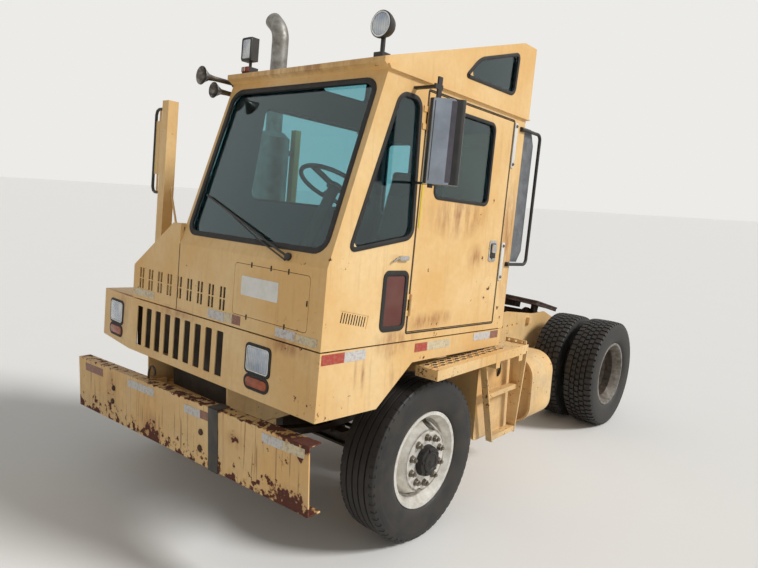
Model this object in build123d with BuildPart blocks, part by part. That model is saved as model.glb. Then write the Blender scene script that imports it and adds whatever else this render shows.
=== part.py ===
from build123d import *
from math import atan2, cos, degrees, hypot, radians, sin
import os

os.makedirs("parts", exist_ok=True)

# Terminal tractor with a one-man cab on the left and a lifting fifth wheel.
# Millimetres. X points forward from the front axle, Y to the driver's left, Z up from the ground.
# The chassis stands level. The cab and the sheet metal round it lean back by CAB_LEAN.

# Stance and wheels
CAB_LEAN = 3.0
WHEELBASE = 2946
TYRE_RADIUS = 500
TYRE_WIDTH = 279
TREAD_HALF = 118
BEAD_RADIUS = 286
FLANGE_RADIUS = 298.5
RIM_HALF = 118
RIM_WALL = 9
RIM_WELL = 42
FRONT_TRACK_HALF = 1058
REAR_TRACK_HALF = 1061
DUAL_SPACING = 343
STUD_CIRCLE = 143
DISC_THICK = 12
HAND_HOLE = 32
DRUM_RADIUS = 208
DRUM_WALL = 14
FIT_GAP = 0.3

# Steering axle
KINGPIN_Y = 830
KINGPIN_RADIUS = 18
BEAM_DROP = 62
BEAM_HEIGHT = 92
BEAM_WIDTH = 90
SPINDLE_RADIUS = 32
STEER_ARM = (-170, KINGPIN_Y)
SPRING_HALF = 600
SPRING_RISE = 100
LEAF = 14

# Frame
RAIL_OUT = 432
RAIL_TOP = 960
RAIL_DEPTH = 280
RAIL_FLANGE = 89
RAIL_WALL = 10
FRAME_FRONT = 915
FRAME_REAR = -3615
TAIL_START = -2900
TAIL_TOP = 790
SIDE_PLATE = 12
HOLE_PITCH = 92
HOLE_RADIUS = 11

# Bumper
BUMPER_FACE = 1009
BUMPER_HALF = 1219
BUMPER_HEIGHT = 357
BUMPER_MIDDLE = 652
BUMPER_FLANGE = 82
BUMPER_WALL = 8
BUMPER_TILT = 2.1

# Sheet metal below the cab, leaning with it
FRONT_X = 1020
LEFT_Y = 1200
SKIN = 6
SEAM_Z = 1270
SEAM_GAP = 8
FASCIA_BOTTOM = 922
FASCIA_RIGHT = -581
FASCIA_LIP = 45
WING_END = (985, -1000)
SLOT_COUNT = 9
SLOT_PITCH = 108

# Cab
CAB_RIGHT = -45
CAB_REAR = -680
BEND_Z = 1667
EAVE_Z = 2645
WINDOW_TOP = EAVE_Z - 85
SCREEN_RUN = 310
SCREEN_RISE = 1004
WALL = 40
FLOOR = 45
ROOF_OVERHANG = 8
GLASS = 6
DOOR_GAP = 6
DOOR_FRONT = 370
DOOR_REAR = -530
DOOR_BOTTOM = 1322
DOOR_TOP = EAVE_Z - 38
HOOD_RIGHT = -560
HOOD_WALL = 20

# Step side
PLANK_TOP = 1105
PLANK_OUT = 1300
PLANK_WIDTH = 160
PLANK_IN = PLANK_OUT - PLANK_WIDTH
PLANK_FRONT = 116
PLANK_REAR = -930
PLANK_DEPTH = 62
PLANK_SHEET = 5
STEP_PLATE = 12
TANK_LOW = 400
TANK_HIGH = 915
TANK_OUT = 1195
TANK_IN = 470
TANK_FRONT = -1275
TANK_REAR = -1620
TANK_WALL = 12
HYD_FRONT = -625
HYD_REAR = -1080
HYD_OUT = PLANK_IN - 20

# Lifting fifth wheel
BOOM_PIVOT = (-1700, 905)
SHAFT_RADIUS = 38
FIFTH_PIVOT = (-2950, 930)
FIFTH_TILT = 14
FIFTH_TOP = 130
FIFTH_HALF = 460
FIFTH_PLATE = 14
KINGPIN_BORE = 26
ARM_IN = 190
ARM_WIDTH = 80
ARM_LOW = -20
ARM_HIGH = 60
LIFT_FOOT = (-2300, 430)
LIFT_EYE = (-2380, 836)
LIFT_Y = ARM_IN + ARM_WIDTH / 2
BARREL_RADIUS = 48
ROD_RADIUS = 24
EYE_RADIUS = 38
PIN_RADIUS = 20
EYE_CLEARANCE = 8

HUB_Z = TYRE_RADIUS
REAR_X = -WHEELBASE
RAIL_LOW = RAIL_TOP - RAIL_DEPTH

# Stances: the level chassis, wheels on their axles, the leaning cab and the tilted top plate
LEVEL = Location((0, 0, 0))
FRONT_HUB = Location((0, 0, HUB_Z))
REAR_HUB = Location((REAR_X, 0, HUB_Z))
LEANING = Location((0, 0, 0), (0, -CAB_LEAN, 0))
TOP_PLATE = Location((FIFTH_PIVOT[0], 0, FIFTH_PIVOT[1]), (0, -FIFTH_TILT, 0))

pieces = []


def keep(name, part, stance=LEVEL):
    """Label a finished piece and set it in its stance."""
    piece = part.moved(stance)
    piece.label = name
    pieces.append(piece)


def side(y):
    """Sketch plane across the vehicle at y: +X across, +Z up, extruding towards -Y."""
    return Plane.XZ.offset(-y)


def front(x):
    """Sketch plane facing forward at x: +Y across, +Z up, extruding towards +X."""
    return Plane.YZ.offset(x)


def level(z):
    """Horizontal sketch plane at z, extruding upwards."""
    return Plane.XY.offset(z)


def above(x, z):
    """Height in the leaning frame, at leaning x, of the level plane at z."""
    return (z - x * sin(radians(CAB_LEAN))) / cos(radians(CAB_LEAN))


def leg(x, y, top):
    """A leg from the rails' top flange up to a leaning height, between two X and two Y values."""
    return slab(shape(*[(end, above(end, RAIL_TOP) + FIT_GAP) for end in x], (x[1], top), (x[0], top)),
                side(y[1]), y[1] - y[0])


def rounded(corners, radius):
    """A closed outline through the corners, each one rounded."""
    with BuildSketch() as outline:
        Polygon(*corners, align=None)
        fillet(outline.vertices(), radius)
    return outline.sketch


def oblong(low, high, radius):
    """A rounded rectangle between two corners."""
    return rounded([low, (high[0], low[1]), high, (low[0], high[1])], radius)


def box(x, y, z):
    """A block between two X, two Y and two Z values."""
    with BuildPart() as block:
        with BuildSketch(level(z[0])):
            Polygon((x[0], y[0]), (x[1], y[0]), (x[1], y[1]), (x[0], y[1]), align=None)
        extrude(amount=z[1] - z[0])
    return block.part


def slab(outline, plane, thickness):
    """An outline on a plane, given a thickness along the plane's normal."""
    with BuildPart() as plate:
        with BuildSketch(plane):
            add(outline)
        extrude(amount=thickness)
    return plate.part


def shape(*corners):
    """A plain polygon through the corners."""
    with BuildSketch() as outline:
        Polygon(*corners, align=None)
    return outline.sketch


def along_y(centre, radius, y_low, y_high):
    """A round bar along Y through centre (x, z)."""
    with BuildPart() as bar:
        with BuildSketch(side(y_high)):
            with Locations(centre):
                Circle(radius)
        extrude(amount=y_high - y_low)
    return bar.part


def along_z(centre, radius, z_low, z_high):
    """A round bar along Z through centre (x, y)."""
    with BuildPart() as bar:
        with BuildSketch(level(z_low)):
            with Locations(centre):
                Circle(radius)
        extrude(amount=z_high - z_low)
    return bar.part


def turned(*section):
    """A section given as (y, radius) points, turned round the Y axis."""
    with BuildPart() as ring:
        with BuildSketch(Plane.YZ):
            Polygon(*section, align=None)
        revolve(axis=Axis.Y)
    return ring.part


def right_hand(part):
    """The same piece on the other side of the middle plane."""
    return part.mirror(Plane.XZ)


# Wheels. Each section is drawn round the axle line, y growing outwards from the vehicle's middle.
def tyre(middle):
    """A tyre standing at y = middle, from bead to bead over the crown."""
    half = TYRE_WIDTH / 2
    bead = RIM_HALF - RIM_WALL
    belly = (FLANGE_RADIUS + TYRE_RADIUS) / 2 + 8
    outer = [
        (bead, BEAD_RADIUS), (bead, FLANGE_RADIUS + 1), (RIM_HALF + 6, FLANGE_RADIUS + 12),
        (half, belly), (half - 6, TYRE_RADIUS - 42), (TREAD_HALF + 4, TYRE_RADIUS - 7),
    ]
    return turned(*[(middle - y, r) for y, r in outer], (middle, TYRE_RADIUS),
                  *[(middle + y, r) for y, r in reversed(outer)])


def rim(middle):
    """Drop-centre rim at y = middle."""
    seat = BEAD_RADIUS - FIT_GAP
    well = seat - RIM_WELL
    lip = RIM_HALF - RIM_WALL + FIT_GAP
    outer = [(lip, seat), (lip, FLANGE_RADIUS), (RIM_HALF, FLANGE_RADIUS), (RIM_HALF, seat - RIM_WALL)]
    return turned(
        *[(middle - y, r) for y, r in outer], (middle - 44, well - RIM_WALL), (middle + 44, well - RIM_WALL),
        *[(middle + y, r) for y, r in reversed(outer)], (middle + 44, well), (middle - 44, well))


def disc(rim_y, face, bulge):
    """Dished disc from the rim's well at rim_y to its bolting face, whose back is at y = face."""
    well = BEAD_RADIUS - RIM_WELL - RIM_WALL / 2
    step = bulge * DISC_THICK
    return turned(
        (rim_y, well), (rim_y + step, well), (face + step, STUD_CIRCLE + 52), (face + step, 80),
        (face, 80), (face, STUD_CIRCLE + 46))


def hand_holes(part, middle):
    """Two opposite hand holes cut through the disc."""
    reach = (STUD_CIRCLE + BEAD_RADIUS - RIM_WELL) / 2 + 10
    with BuildPart() as pierced:
        add(part)
        with BuildSketch(side(middle + RIM_HALF)):
            with PolarLocations(reach, 2, start_angle=104):
                SlotOverall(2.3 * HAND_HOLE, 2 * HAND_HOLE, rotation=90)
        extrude(amount=2 * RIM_HALF, mode=Mode.SUBTRACT)
    return pierced.part


front_face = FRONT_TRACK_HALF + RIM_HALF - 13
drum_open = FRONT_TRACK_HALF - 153
with BuildPart() as front_wheel:
    add(rim(FRONT_TRACK_HALF))
    add(disc(FRONT_TRACK_HALF + 12, front_face, 1))
    add(turned(
        (drum_open, DRUM_RADIUS), (front_face - 30, DRUM_RADIUS), (front_face, STUD_CIRCLE + 40),
        (front_face, 92), (front_face + 48, 84), (front_face + 56, 0), (front_face - 80, 0),
        (front_face - 80, SPINDLE_RADIUS + FIT_GAP), (front_face - 130, SPINDLE_RADIUS + FIT_GAP),
        (front_face - 130, 80), (front_face - 48, 120), (front_face - 48, DRUM_RADIUS - DRUM_WALL),
        (drum_open, DRUM_RADIUS - DRUM_WALL)))
front_wheel = hand_holes(front_wheel.part, FRONT_TRACK_HALF)
front_tyre = tyre(FRONT_TRACK_HALF)
for name, change in (("left", lambda part: part), ("right", right_hand)):
    keep(f"front_{name}_tyre", change(front_tyre), FRONT_HUB)
    keep(f"front_{name}_wheel", change(front_wheel), FRONT_HUB)

inner_y = REAR_TRACK_HALF - DUAL_SPACING
dual_face = REAR_TRACK_HALF - DUAL_SPACING / 2
rear_drum_open = inner_y - 78
AXLE_SPINDLE = 48
with BuildPart() as rear_wheels:
    add(rim(REAR_TRACK_HALF))
    add(rim(inner_y))
    add(disc(REAR_TRACK_HALF - 12, dual_face + DISC_THICK, -1))
    add(disc(inner_y + 12, dual_face - DISC_THICK, 1))
    add(turned(
        (rear_drum_open, DRUM_RADIUS), (dual_face - 60, DRUM_RADIUS), (dual_face - 12, STUD_CIRCLE + 36),
        (dual_face - 12, 100), (dual_face + 12, 100), (dual_face + 12, 118), (dual_face + 24, 118),
        (dual_face + 130, 96), (dual_face + 136, 84), (dual_face + 158, 78), (dual_face + 162, 0),
        (dual_face - 70, 0), (dual_face - 70, AXLE_SPINDLE + FIT_GAP),
        (dual_face - 130, AXLE_SPINDLE + FIT_GAP), (dual_face - 130, 96), (dual_face - 60, 120),
        (dual_face - 60, DRUM_RADIUS - DRUM_WALL), (rear_drum_open, DRUM_RADIUS - DRUM_WALL)))
rear_wheels = hand_holes(rear_wheels.part, REAR_TRACK_HALF - DUAL_SPACING / 2)
for name, change in (("left", lambda part: part), ("right", right_hand)):
    with BuildPart() as tyres:
        add(change(tyre(REAR_TRACK_HALF)))
        add(change(tyre(inner_y)))
    keep(f"rear_{name}_tyres", tyres.part, REAR_HUB)
    keep(f"rear_{name}_wheels", change(rear_wheels), REAR_HUB)

# Steering: beam axle, knuckles on kingpins and a tie rod behind the beam
boss = 42
fork_gap = 3
beam_end = HUB_Z - BEAM_HEIGHT / 2
beam_mid = beam_end - BEAM_DROP
beam_line = [
    (-KINGPIN_Y, beam_end), (-640, beam_end), (-540, beam_mid), (540, beam_mid), (640, beam_end),
    (KINGPIN_Y, beam_end), (KINGPIN_Y, beam_end + BEAM_HEIGHT), (620, beam_end + BEAM_HEIGHT),
    (520, beam_mid + BEAM_HEIGHT), (-520, beam_mid + BEAM_HEIGHT), (-620, beam_end + BEAM_HEIGHT),
    (-KINGPIN_Y, beam_end + BEAM_HEIGHT),
]
BEAM_WEB = 16
pocket_line = [
    (-740, beam_end + 16), (-634, beam_end + 16), (-534, beam_mid + 16), (534, beam_mid + 16),
    (634, beam_end + 16), (740, beam_end + 16), (740, beam_end + BEAM_HEIGHT - 16),
    (626, beam_end + BEAM_HEIGHT - 16), (526, beam_mid + BEAM_HEIGHT - 16),
    (-526, beam_mid + BEAM_HEIGHT - 16), (-626, beam_end + BEAM_HEIGHT - 16), (-740, beam_end + BEAM_HEIGHT - 16),
]
spring_y = RAIL_OUT - RAIL_FLANGE / 2
spring_half_width = 38
with BuildPart() as front_axle:
    add(slab(shape(*beam_line), front(-BEAM_WIDTH / 2), BEAM_WIDTH))
    for x in (-BEAM_WIDTH / 2, BEAM_WEB / 2):
        add(slab(shape(*pocket_line), front(x), (BEAM_WIDTH - BEAM_WEB) / 2), mode=Mode.SUBTRACT)
    for y in (-KINGPIN_Y, KINGPIN_Y):
        add(along_z((0, y), boss, beam_end, beam_end + BEAM_HEIGHT))
        with BuildSketch(level(beam_end)):
            with Locations((0, y)):
                Circle(KINGPIN_RADIUS + FIT_GAP)
        extrude(amount=BEAM_HEIGHT, mode=Mode.SUBTRACT)
    for y in (-spring_y, spring_y):
        add(box((-70, 70), (y - spring_half_width - 8, y + spring_half_width + 8),
                (beam_mid + BEAM_HEIGHT - 14, beam_mid + BEAM_HEIGHT + 6)))
keep("front_axle", front_axle.part)

backing = drum_open - 20
fork_low = beam_end - fork_gap
fork_high = beam_end + BEAM_HEIGHT + fork_gap
FORK = 46
arm_low = fork_low - FORK
arm_high = arm_low + 26
with BuildPart() as knuckle:
    add(along_z((0, KINGPIN_Y), boss, fork_high, fork_high + FORK))
    add(along_z((0, KINGPIN_Y), boss, fork_low - FORK, fork_low))
    add(along_z((0, KINGPIN_Y), KINGPIN_RADIUS, fork_low, fork_high))
    add(box((-boss, boss), (KINGPIN_Y + boss + 6, backing), (fork_low - FORK, fork_high + FORK)))
    for z in (fork_low - FORK, fork_high):
        add(box((-boss, boss), (KINGPIN_Y, backing), (z, z + FORK)))
    add(turned((backing, 0), (backing, DRUM_RADIUS - 24), (backing + 10, DRUM_RADIUS - 24), (backing + 10, 78),
               (backing + 22, 60), (front_face - 134, 46), (front_face - 134, SPINDLE_RADIUS),
               (front_face - 84, SPINDLE_RADIUS), (front_face - 84, 0)).moved(FRONT_HUB))
    with BuildSketch(level(arm_low)):
        Polygon((-30, KINGPIN_Y + 36), (-30, KINGPIN_Y - 30), (STEER_ARM[0] + 20, STEER_ARM[1] - 26),
                (STEER_ARM[0] - 8, STEER_ARM[1] + 28), align=None)
        with Locations(STEER_ARM):
            Circle(28)
    extrude(amount=arm_high - arm_low)
    add(along_z(STEER_ARM, 10, arm_high, arm_high + 34))
keep("knuckle_left", knuckle.part)
keep("knuckle_right", right_hand(knuckle.part))

tie_z = arm_high + 15
with BuildPart() as tie_rod:
    add(along_y((STEER_ARM[0], tie_z), 15, -STEER_ARM[1] + 20, STEER_ARM[1] - 20))
    for y in (-STEER_ARM[1], STEER_ARM[1]):
        add(along_z((STEER_ARM[0], y), 25, tie_z - 12, tie_z + 12))
        with BuildSketch(level(tie_z - 12)):
            with Locations((STEER_ARM[0], y)):
                Circle(10 + FIT_GAP)
        extrude(amount=24, mode=Mode.SUBTRACT)
keep("tie_rod", tie_rod.part)

# Leaf springs: three leaves each side, bent about one centre, the top one ending in eyes
spring_seat = beam_mid + BEAM_HEIGHT + 6
bend = (SPRING_HALF ** 2 + SPRING_RISE ** 2) / (2 * SPRING_RISE)
eye_radius = 26
eye_z = spring_seat + 3 * LEAF + SPRING_RISE
with BuildPart() as springs:
    for y in (-spring_y, spring_y):
        for index, reach in enumerate((0.55, 0.78, 1.0)):
            inner = bend - 3 * LEAF + (2 - index) * LEAF
            turn = reach * degrees(atan2(SPRING_HALF, bend - SPRING_RISE))
            centre = (0, spring_seat + bend)
            with BuildSketch(side(y + spring_half_width)):
                with BuildLine():
                    low = CenterArc(centre, inner + LEAF, 270 - turn, 2 * turn)
                    high = CenterArc(centre, inner, 270 - turn, 2 * turn)
                    Line(low @ 0, high @ 0)
                    Line(low @ 1, high @ 1)
                make_face()
            extrude(amount=2 * spring_half_width)
        for x in (-SPRING_HALF, SPRING_HALF):
            add(along_y((x, eye_z), eye_radius, y - spring_half_width, y + spring_half_width))
        with BuildSketch(level(spring_seat)):
            with Locations((0, y)):
                Rectangle(110, 2 * spring_half_width)
        extrude(amount=3 * LEAF + 14)
        for x in (-SPRING_HALF, SPRING_HALF):
            with BuildSketch(side(y + spring_half_width)):
                with Locations((x, eye_z)):
                    Circle(12 + FIT_GAP)
            extrude(amount=2 * spring_half_width, mode=Mode.SUBTRACT)
keep("leaf_springs", springs.part)

# Frame: two channel rails, cross members, spring hangers and bumper horns welded into one
tail_corner = RAIL_LOW + 30
rail_side = [
    (FRAME_FRONT, RAIL_LOW), (FRAME_FRONT, RAIL_TOP), (TAIL_START, RAIL_TOP), (FRAME_REAR, TAIL_TOP),
    (FRAME_REAR, tail_corner), (FRAME_REAR + 120, RAIL_LOW),
]
inner_side = [
    (FRAME_FRONT, RAIL_LOW + RAIL_WALL), (FRAME_FRONT, RAIL_TOP - RAIL_WALL),
    (TAIL_START, RAIL_TOP - RAIL_WALL), (FRAME_REAR, TAIL_TOP - RAIL_WALL),
    (FRAME_REAR, tail_corner + RAIL_WALL), (FRAME_REAR + 120, RAIL_LOW + RAIL_WALL),
]
rail_in = RAIL_OUT - RAIL_WALL
# Cross members: front and rear X, bottom and top Z
cross_members = [
    (700, 790, RAIL_LOW + RAIL_WALL, 760),
    (-1470, -1400, 790, RAIL_TOP - RAIL_WALL),
    (-2130, -2060, 720, 820),
    (FRAME_REAR, FRAME_REAR + 12, tail_corner + RAIL_WALL / 2, TAIL_TOP - RAIL_WALL / 2),
]
hanger = 12
foot_low = LIFT_FOOT[1] - 60
with BuildPart() as frame:
    for sign in (-1, 1):
        outer_y = RAIL_OUT if sign > 0 else -RAIL_OUT + RAIL_FLANGE
        add(slab(shape(*rail_side), side(outer_y), RAIL_FLANGE))
        inner_y_top = rail_in if sign > 0 else -RAIL_OUT + RAIL_FLANGE
        add(slab(shape(*inner_side), side(inner_y_top), RAIL_FLANGE - RAIL_WALL), mode=Mode.SUBTRACT)
    for x_low, x_high, z_low, z_high in cross_members:
        add(box((x_low, x_high), (-rail_in, rail_in), (z_low, z_high)))
    for y in (-rail_in, rail_in - 30):
        add(box((800, BUMPER_FACE - BUMPER_WALL), (y, y + 30), (RAIL_LOW + RAIL_WALL, 790)))
    for y in (-spring_y, spring_y):
        for x in (-SPRING_HALF, SPRING_HALF):
            for gap_y in (y - spring_half_width - hanger, y + spring_half_width):
                add(slab(oblong((x - 45, eye_z - 35), (x + 45, RAIL_LOW + 4), 12), side(gap_y + hanger), hanger))
            add(along_y((x, eye_z), 12, y - spring_half_width - hanger, y + spring_half_width + hanger))
    # Hanger below the rails for the feet of the lift cylinders
    for y in (-RAIL_OUT, RAIL_OUT - 16):
        add(box((LIFT_FOOT[0] - 60, LIFT_FOOT[0] + 60), (y, y + 16), (foot_low, RAIL_LOW)))
    add(box((LIFT_FOOT[0] - 40, LIFT_FOOT[0] + 40), (-RAIL_OUT, RAIL_OUT), (foot_low - 14, foot_low)))
    for y in (-LIFT_Y, LIFT_Y):
        for ear in (y - 42, y + 26):
            add(slab(shape((LIFT_FOOT[0] - 36, foot_low), (LIFT_FOOT[0] + 36, foot_low),
                           (LIFT_FOOT[0] + 26, LIFT_FOOT[1] + 26), (LIFT_FOOT[0] - 26, LIFT_FOOT[1] + 26)),
                     side(ear + 16), 16))
        add(along_y(LIFT_FOOT, PIN_RADIUS, y - 42, y + 42))
    # Bores in the webs for the boom's pivot shaft
    with BuildSketch(side(RAIL_OUT)):
        with Locations(BOOM_PIVOT):
            Circle(SHAFT_RADIUS + FIT_GAP)
    extrude(amount=2 * RAIL_OUT, mode=Mode.SUBTRACT)
keep("frame", frame.part)

plate_line = [
    (-1480, 640), (-1480, 950), (-1560, 1060), (-2200, 1060), (-2700, 988), (-2950, 984),
    (-3140, 905), (-3140, 640),
]
PLATE_HOLES = (-1650, 922, 9)
LOW_HOLES = (-2870, 800, 3)
LOW_HOLE_PITCH = 80
STUB = 34
STUB_X = -2600
STUB_Z = 935
with BuildPart() as side_plates:
    for y in (RAIL_OUT + SIDE_PLATE, -RAIL_OUT):
        add(slab(shape(*plate_line), side(y), SIDE_PLATE))
        with BuildSketch(side(y)):
            for (first_x, z, count), pitch in ((PLATE_HOLES, HOLE_PITCH), (LOW_HOLES, LOW_HOLE_PITCH)):
                with Locations(*[(first_x - pitch * index, z) for index in range(count)]):
                    Circle(HOLE_RADIUS)
        extrude(amount=SIDE_PLATE, mode=Mode.SUBTRACT)
    for y in (RAIL_OUT + SIDE_PLATE, -RAIL_OUT - SIDE_PLATE - STUB):
        add(box((STUB_X - 30, STUB_X + 30), (y, y + STUB), (STUB_Z - 30, STUB_Z + 30)))
    # Boom pivot: a shaft across the frame between the side plates
    add(along_y(BOOM_PIVOT, SHAFT_RADIUS, -RAIL_OUT - SIDE_PLATE, RAIL_OUT + SIDE_PLATE))
keep("side_plates", side_plates.part)

# Front bumper: an upright channel, knocked out of level
BUMPER = Location((0, 0, BUMPER_MIDDLE), (BUMPER_TILT, 0, 0))
half_height = BUMPER_HEIGHT / 2
with BuildPart() as bumper:
    with BuildSketch(side(BUMPER_HALF)):
        Polygon(
            (BUMPER_FACE - BUMPER_FLANGE, -half_height), (BUMPER_FACE, -half_height),
            (BUMPER_FACE, half_height), (BUMPER_FACE - BUMPER_FLANGE, half_height),
            (BUMPER_FACE - BUMPER_FLANGE, half_height - BUMPER_WALL),
            (BUMPER_FACE - BUMPER_WALL, half_height - BUMPER_WALL),
            (BUMPER_FACE - BUMPER_WALL, -half_height + BUMPER_WALL),
            (BUMPER_FACE - BUMPER_FLANGE, -half_height + BUMPER_WALL), align=None)
    extrude(amount=2 * BUMPER_HALF)
keep("front_bumper", bumper.part, BUMPER)

# Rear axle, its mounting blocks and the drive shaft
GEARBOX_REAR = -1352
GEARBOX_Z = 760
PINION_FACE = REAR_X + 332
YOKE = 58
housing = 74
housing_end = rear_drum_open - 20
with BuildPart() as rear_axle:
    add(turned((0, 0), (0, 185), (60, 182), (130, 140), (200, housing), (housing_end, housing),
               (housing_end, DRUM_RADIUS - 26), (housing_end + 10, DRUM_RADIUS - 26),
               (housing_end + 10, 66), (dual_face - 138, 62), (dual_face - 138, AXLE_SPINDLE),
               (dual_face - 74, AXLE_SPINDLE), (dual_face - 74, 0)).moved(REAR_HUB))
    mirror(about=Plane.XZ)
    with BuildSketch(front(REAR_X + 100)):
        with Locations((0, HUB_Z)):
            Circle(105)
    extrude(amount=190, taper=8)
    with BuildSketch(front(PINION_FACE - 52)):
        with Locations((0, HUB_Z)):
            Circle(52)
    extrude(amount=52)
    for y in (-spring_y, spring_y):
        add(box((REAR_X - 75, REAR_X + 75), (y - 40, y + 40), (HUB_Z + 40, RAIL_LOW)))
keep("rear_axle", rear_axle.part)

shaft_front = (GEARBOX_REAR, 0, GEARBOX_Z - 60)
shaft_rear = (PINION_FACE, 0, HUB_Z)
run = (shaft_rear[0] - shaft_front[0], 0, shaft_rear[2] - shaft_front[2])
shaft_length = hypot(run[0], run[2])
lead = YOKE * abs(run[2]) / shaft_length + FIT_GAP
with BuildPart() as driveshaft:
    line = Plane(origin=shaft_front, x_dir=(0, 1, 0), z_dir=run)
    with BuildSketch(line.offset(lead)):
        Circle(42)
    extrude(amount=shaft_length - 2 * lead)
    for start in (lead, shaft_length - lead - 40):
        with BuildSketch(line.offset(start)):
            Circle(YOKE)
        extrude(amount=40)
keep("driveshaft", driveshaft.part)

# Engine and transmission as one plain mass, with the radiator ahead of them
ENGINE = (-650, 380)
ENGINE_Z = (520, 1170)
engine_half = 300
with BuildPart() as engine:
    add(box(ENGINE, (-engine_half, engine_half), ENGINE_Z))
    with BuildSketch(front(GEARBOX_REAR)):
        with Locations((0, GEARBOX_Z)):
            Circle(170)
    extrude(amount=ENGINE[0] - GEARBOX_REAR)
    for y in (-rail_in, engine_half):
        add(box((-120, 40), (y, y + rail_in - engine_half), (GEARBOX_Z, GEARBOX_Z + 100)))
keep("engine", engine.part)

# Radiator, with baffle sheets that lead the air in from the slotted front
CORE_X = (710, 790)
CORE_HALF = 330
CORE_Z = (760, 1216)
lip_x = (FRONT_X - FASCIA_LIP) * cos(radians(CAB_LEAN)) - FASCIA_BOTTOM * sin(radians(CAB_LEAN))
BAFFLE_OUT = (lip_x - SKIN, -FASCIA_RIGHT - 21)
BAFFLE_TOP = 1280
with BuildPart() as radiator:
    add(box(CORE_X, (-CORE_HALF, CORE_HALF), CORE_Z))
    for sign in (-1, 1):
        with BuildSketch(level(RAIL_TOP + FIT_GAP)):
            Polygon((CORE_X[1] - SKIN, sign * (CORE_HALF - SKIN)), (CORE_X[1], sign * (CORE_HALF - SKIN)),
                    (BAFFLE_OUT[0], sign * (BAFFLE_OUT[1] - SKIN)), (BAFFLE_OUT[0], sign * BAFFLE_OUT[1]),
                    (CORE_X[1] - SKIN, sign * CORE_HALF), align=None)
        extrude(amount=BAFFLE_TOP - RAIL_TOP)
keep("radiator", radiator.part)

# Fascia: slotted front sheet, bent lower edge and the right wing with its pair of lamps
fascia_top = SEAM_Z - SEAM_GAP
wing_run = (WING_END[0] - FRONT_X, WING_END[1] - FASCIA_RIGHT)
wing_length = hypot(*wing_run)
WING = Plane(origin=(FRONT_X, FASCIA_RIGHT, 0), x_dir=(-wing_run[0], -wing_run[1], 0),
             z_dir=(-wing_run[1], wing_run[0], 0))
HEADLAMP = (200, 154)
HEADLAMP_Z = 1133
INDICATOR = (196, 74)
INDICATOR_Z = 1009
LEFT_LAMP_Y = 748
WING_LAMP = -210
LAMP_FIT = 1.5
LAMP_DEPTH = 60
LAMP_SINK = 3
slot_low, slot_high, slot_width = 970, 1223, 44
slots = [(-26 + (index - (SLOT_COUNT - 1) / 2) * SLOT_PITCH) for index in range(SLOT_COUNT)]


def lamp_outlines(centre, grow):
    """Headlamp and indicator outlines in a front plane, widened by grow."""
    with BuildSketch() as outlines:
        with Locations((centre, HEADLAMP_Z)):
            RectangleRounded(HEADLAMP[0] + 2 * grow, HEADLAMP[1] + 2 * grow, 22)
        with Locations((centre, INDICATOR_Z)):
            SlotOverall(INDICATOR[0] + 2 * grow, INDICATOR[1] + 2 * grow)
    return outlines.sketch


with BuildPart() as fascia:
    with BuildSketch(front(FRONT_X - SKIN)):
        Polygon((FASCIA_RIGHT, FASCIA_BOTTOM), (LEFT_Y, FASCIA_BOTTOM), (LEFT_Y, fascia_top),
                (FASCIA_RIGHT, fascia_top), align=None)
        with Locations(*[(y, (slot_low + slot_high) / 2) for y in slots]):
            RectangleRounded(slot_width, slot_high - slot_low, 8, mode=Mode.SUBTRACT)
        add(lamp_outlines(LEFT_LAMP_Y, LAMP_FIT), mode=Mode.SUBTRACT)
    extrude(amount=SKIN)
    with BuildSketch(WING.offset(-SKIN)):
        Polygon((0, FASCIA_BOTTOM), (-wing_length, FASCIA_BOTTOM + 20), (-wing_length, fascia_top),
                (0, fascia_top), align=None)
        add(lamp_outlines(WING_LAMP, LAMP_FIT), mode=Mode.SUBTRACT)
    extrude(amount=SKIN)
    # Folded lips behind the lower edge and the top edge
    for lip, z in ((FASCIA_LIP, FASCIA_BOTTOM), (FASCIA_LIP - 15, fascia_top - SKIN)):
        add(box((FRONT_X - lip, FRONT_X - SKIN), (FASCIA_RIGHT, LEFT_Y - SKIN), (z, z + SKIN)))
keep("fascia", fascia.part, LEANING)

with BuildPart() as lamps:
    with BuildSketch(front(FRONT_X - LAMP_SINK - LAMP_DEPTH)):
        add(lamp_outlines(LEFT_LAMP_Y, LAMP_FIT - FIT_GAP))
    extrude(amount=LAMP_DEPTH)
    with BuildSketch(WING.offset(-LAMP_SINK - LAMP_DEPTH)):
        add(lamp_outlines(WING_LAMP, LAMP_FIT - FIT_GAP))
    extrude(amount=LAMP_DEPTH)
keep("front_lamps", lamps.part, LEANING)

# Left skirt with its slanted wheel cut, and the deck over the right wheel
skirt_line = [
    (FRONT_X - SKIN, FASCIA_BOTTOM), (570, FASCIA_BOTTOM - 4), (293, 1140), (CAB_REAR + 20, 1150),
    (CAB_REAR + 20, fascia_top), (FRONT_X - SKIN, fascia_top),
]
LEG_IN = RAIL_OUT - 50
with BuildPart() as skirt:
    add(slab(shape(*skirt_line), side(LEFT_Y), SKIN))
    # Outriggers on legs from the frame, with the pads that the cab rests on
    for x in ((330, 380), (-600, -550)):
        add(box(x, (LEG_IN, LEFT_Y - SKIN), (fascia_top - 60, fascia_top - 20)))
        add(leg(x, (LEG_IN, RAIL_OUT), fascia_top - 60))
        for y in (520, 1000):
            add(along_z(((x[0] + x[1]) / 2, y), 22, fascia_top - 20, SEAM_Z - FIT_GAP))
    add(box((CAB_REAR + 20, FRONT_X - 70), (LEFT_Y - 40, LEFT_Y - SKIN), (fascia_top - SKIN, fascia_top)))
keep("left_skirt", skirt.part, LEANING)

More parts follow.
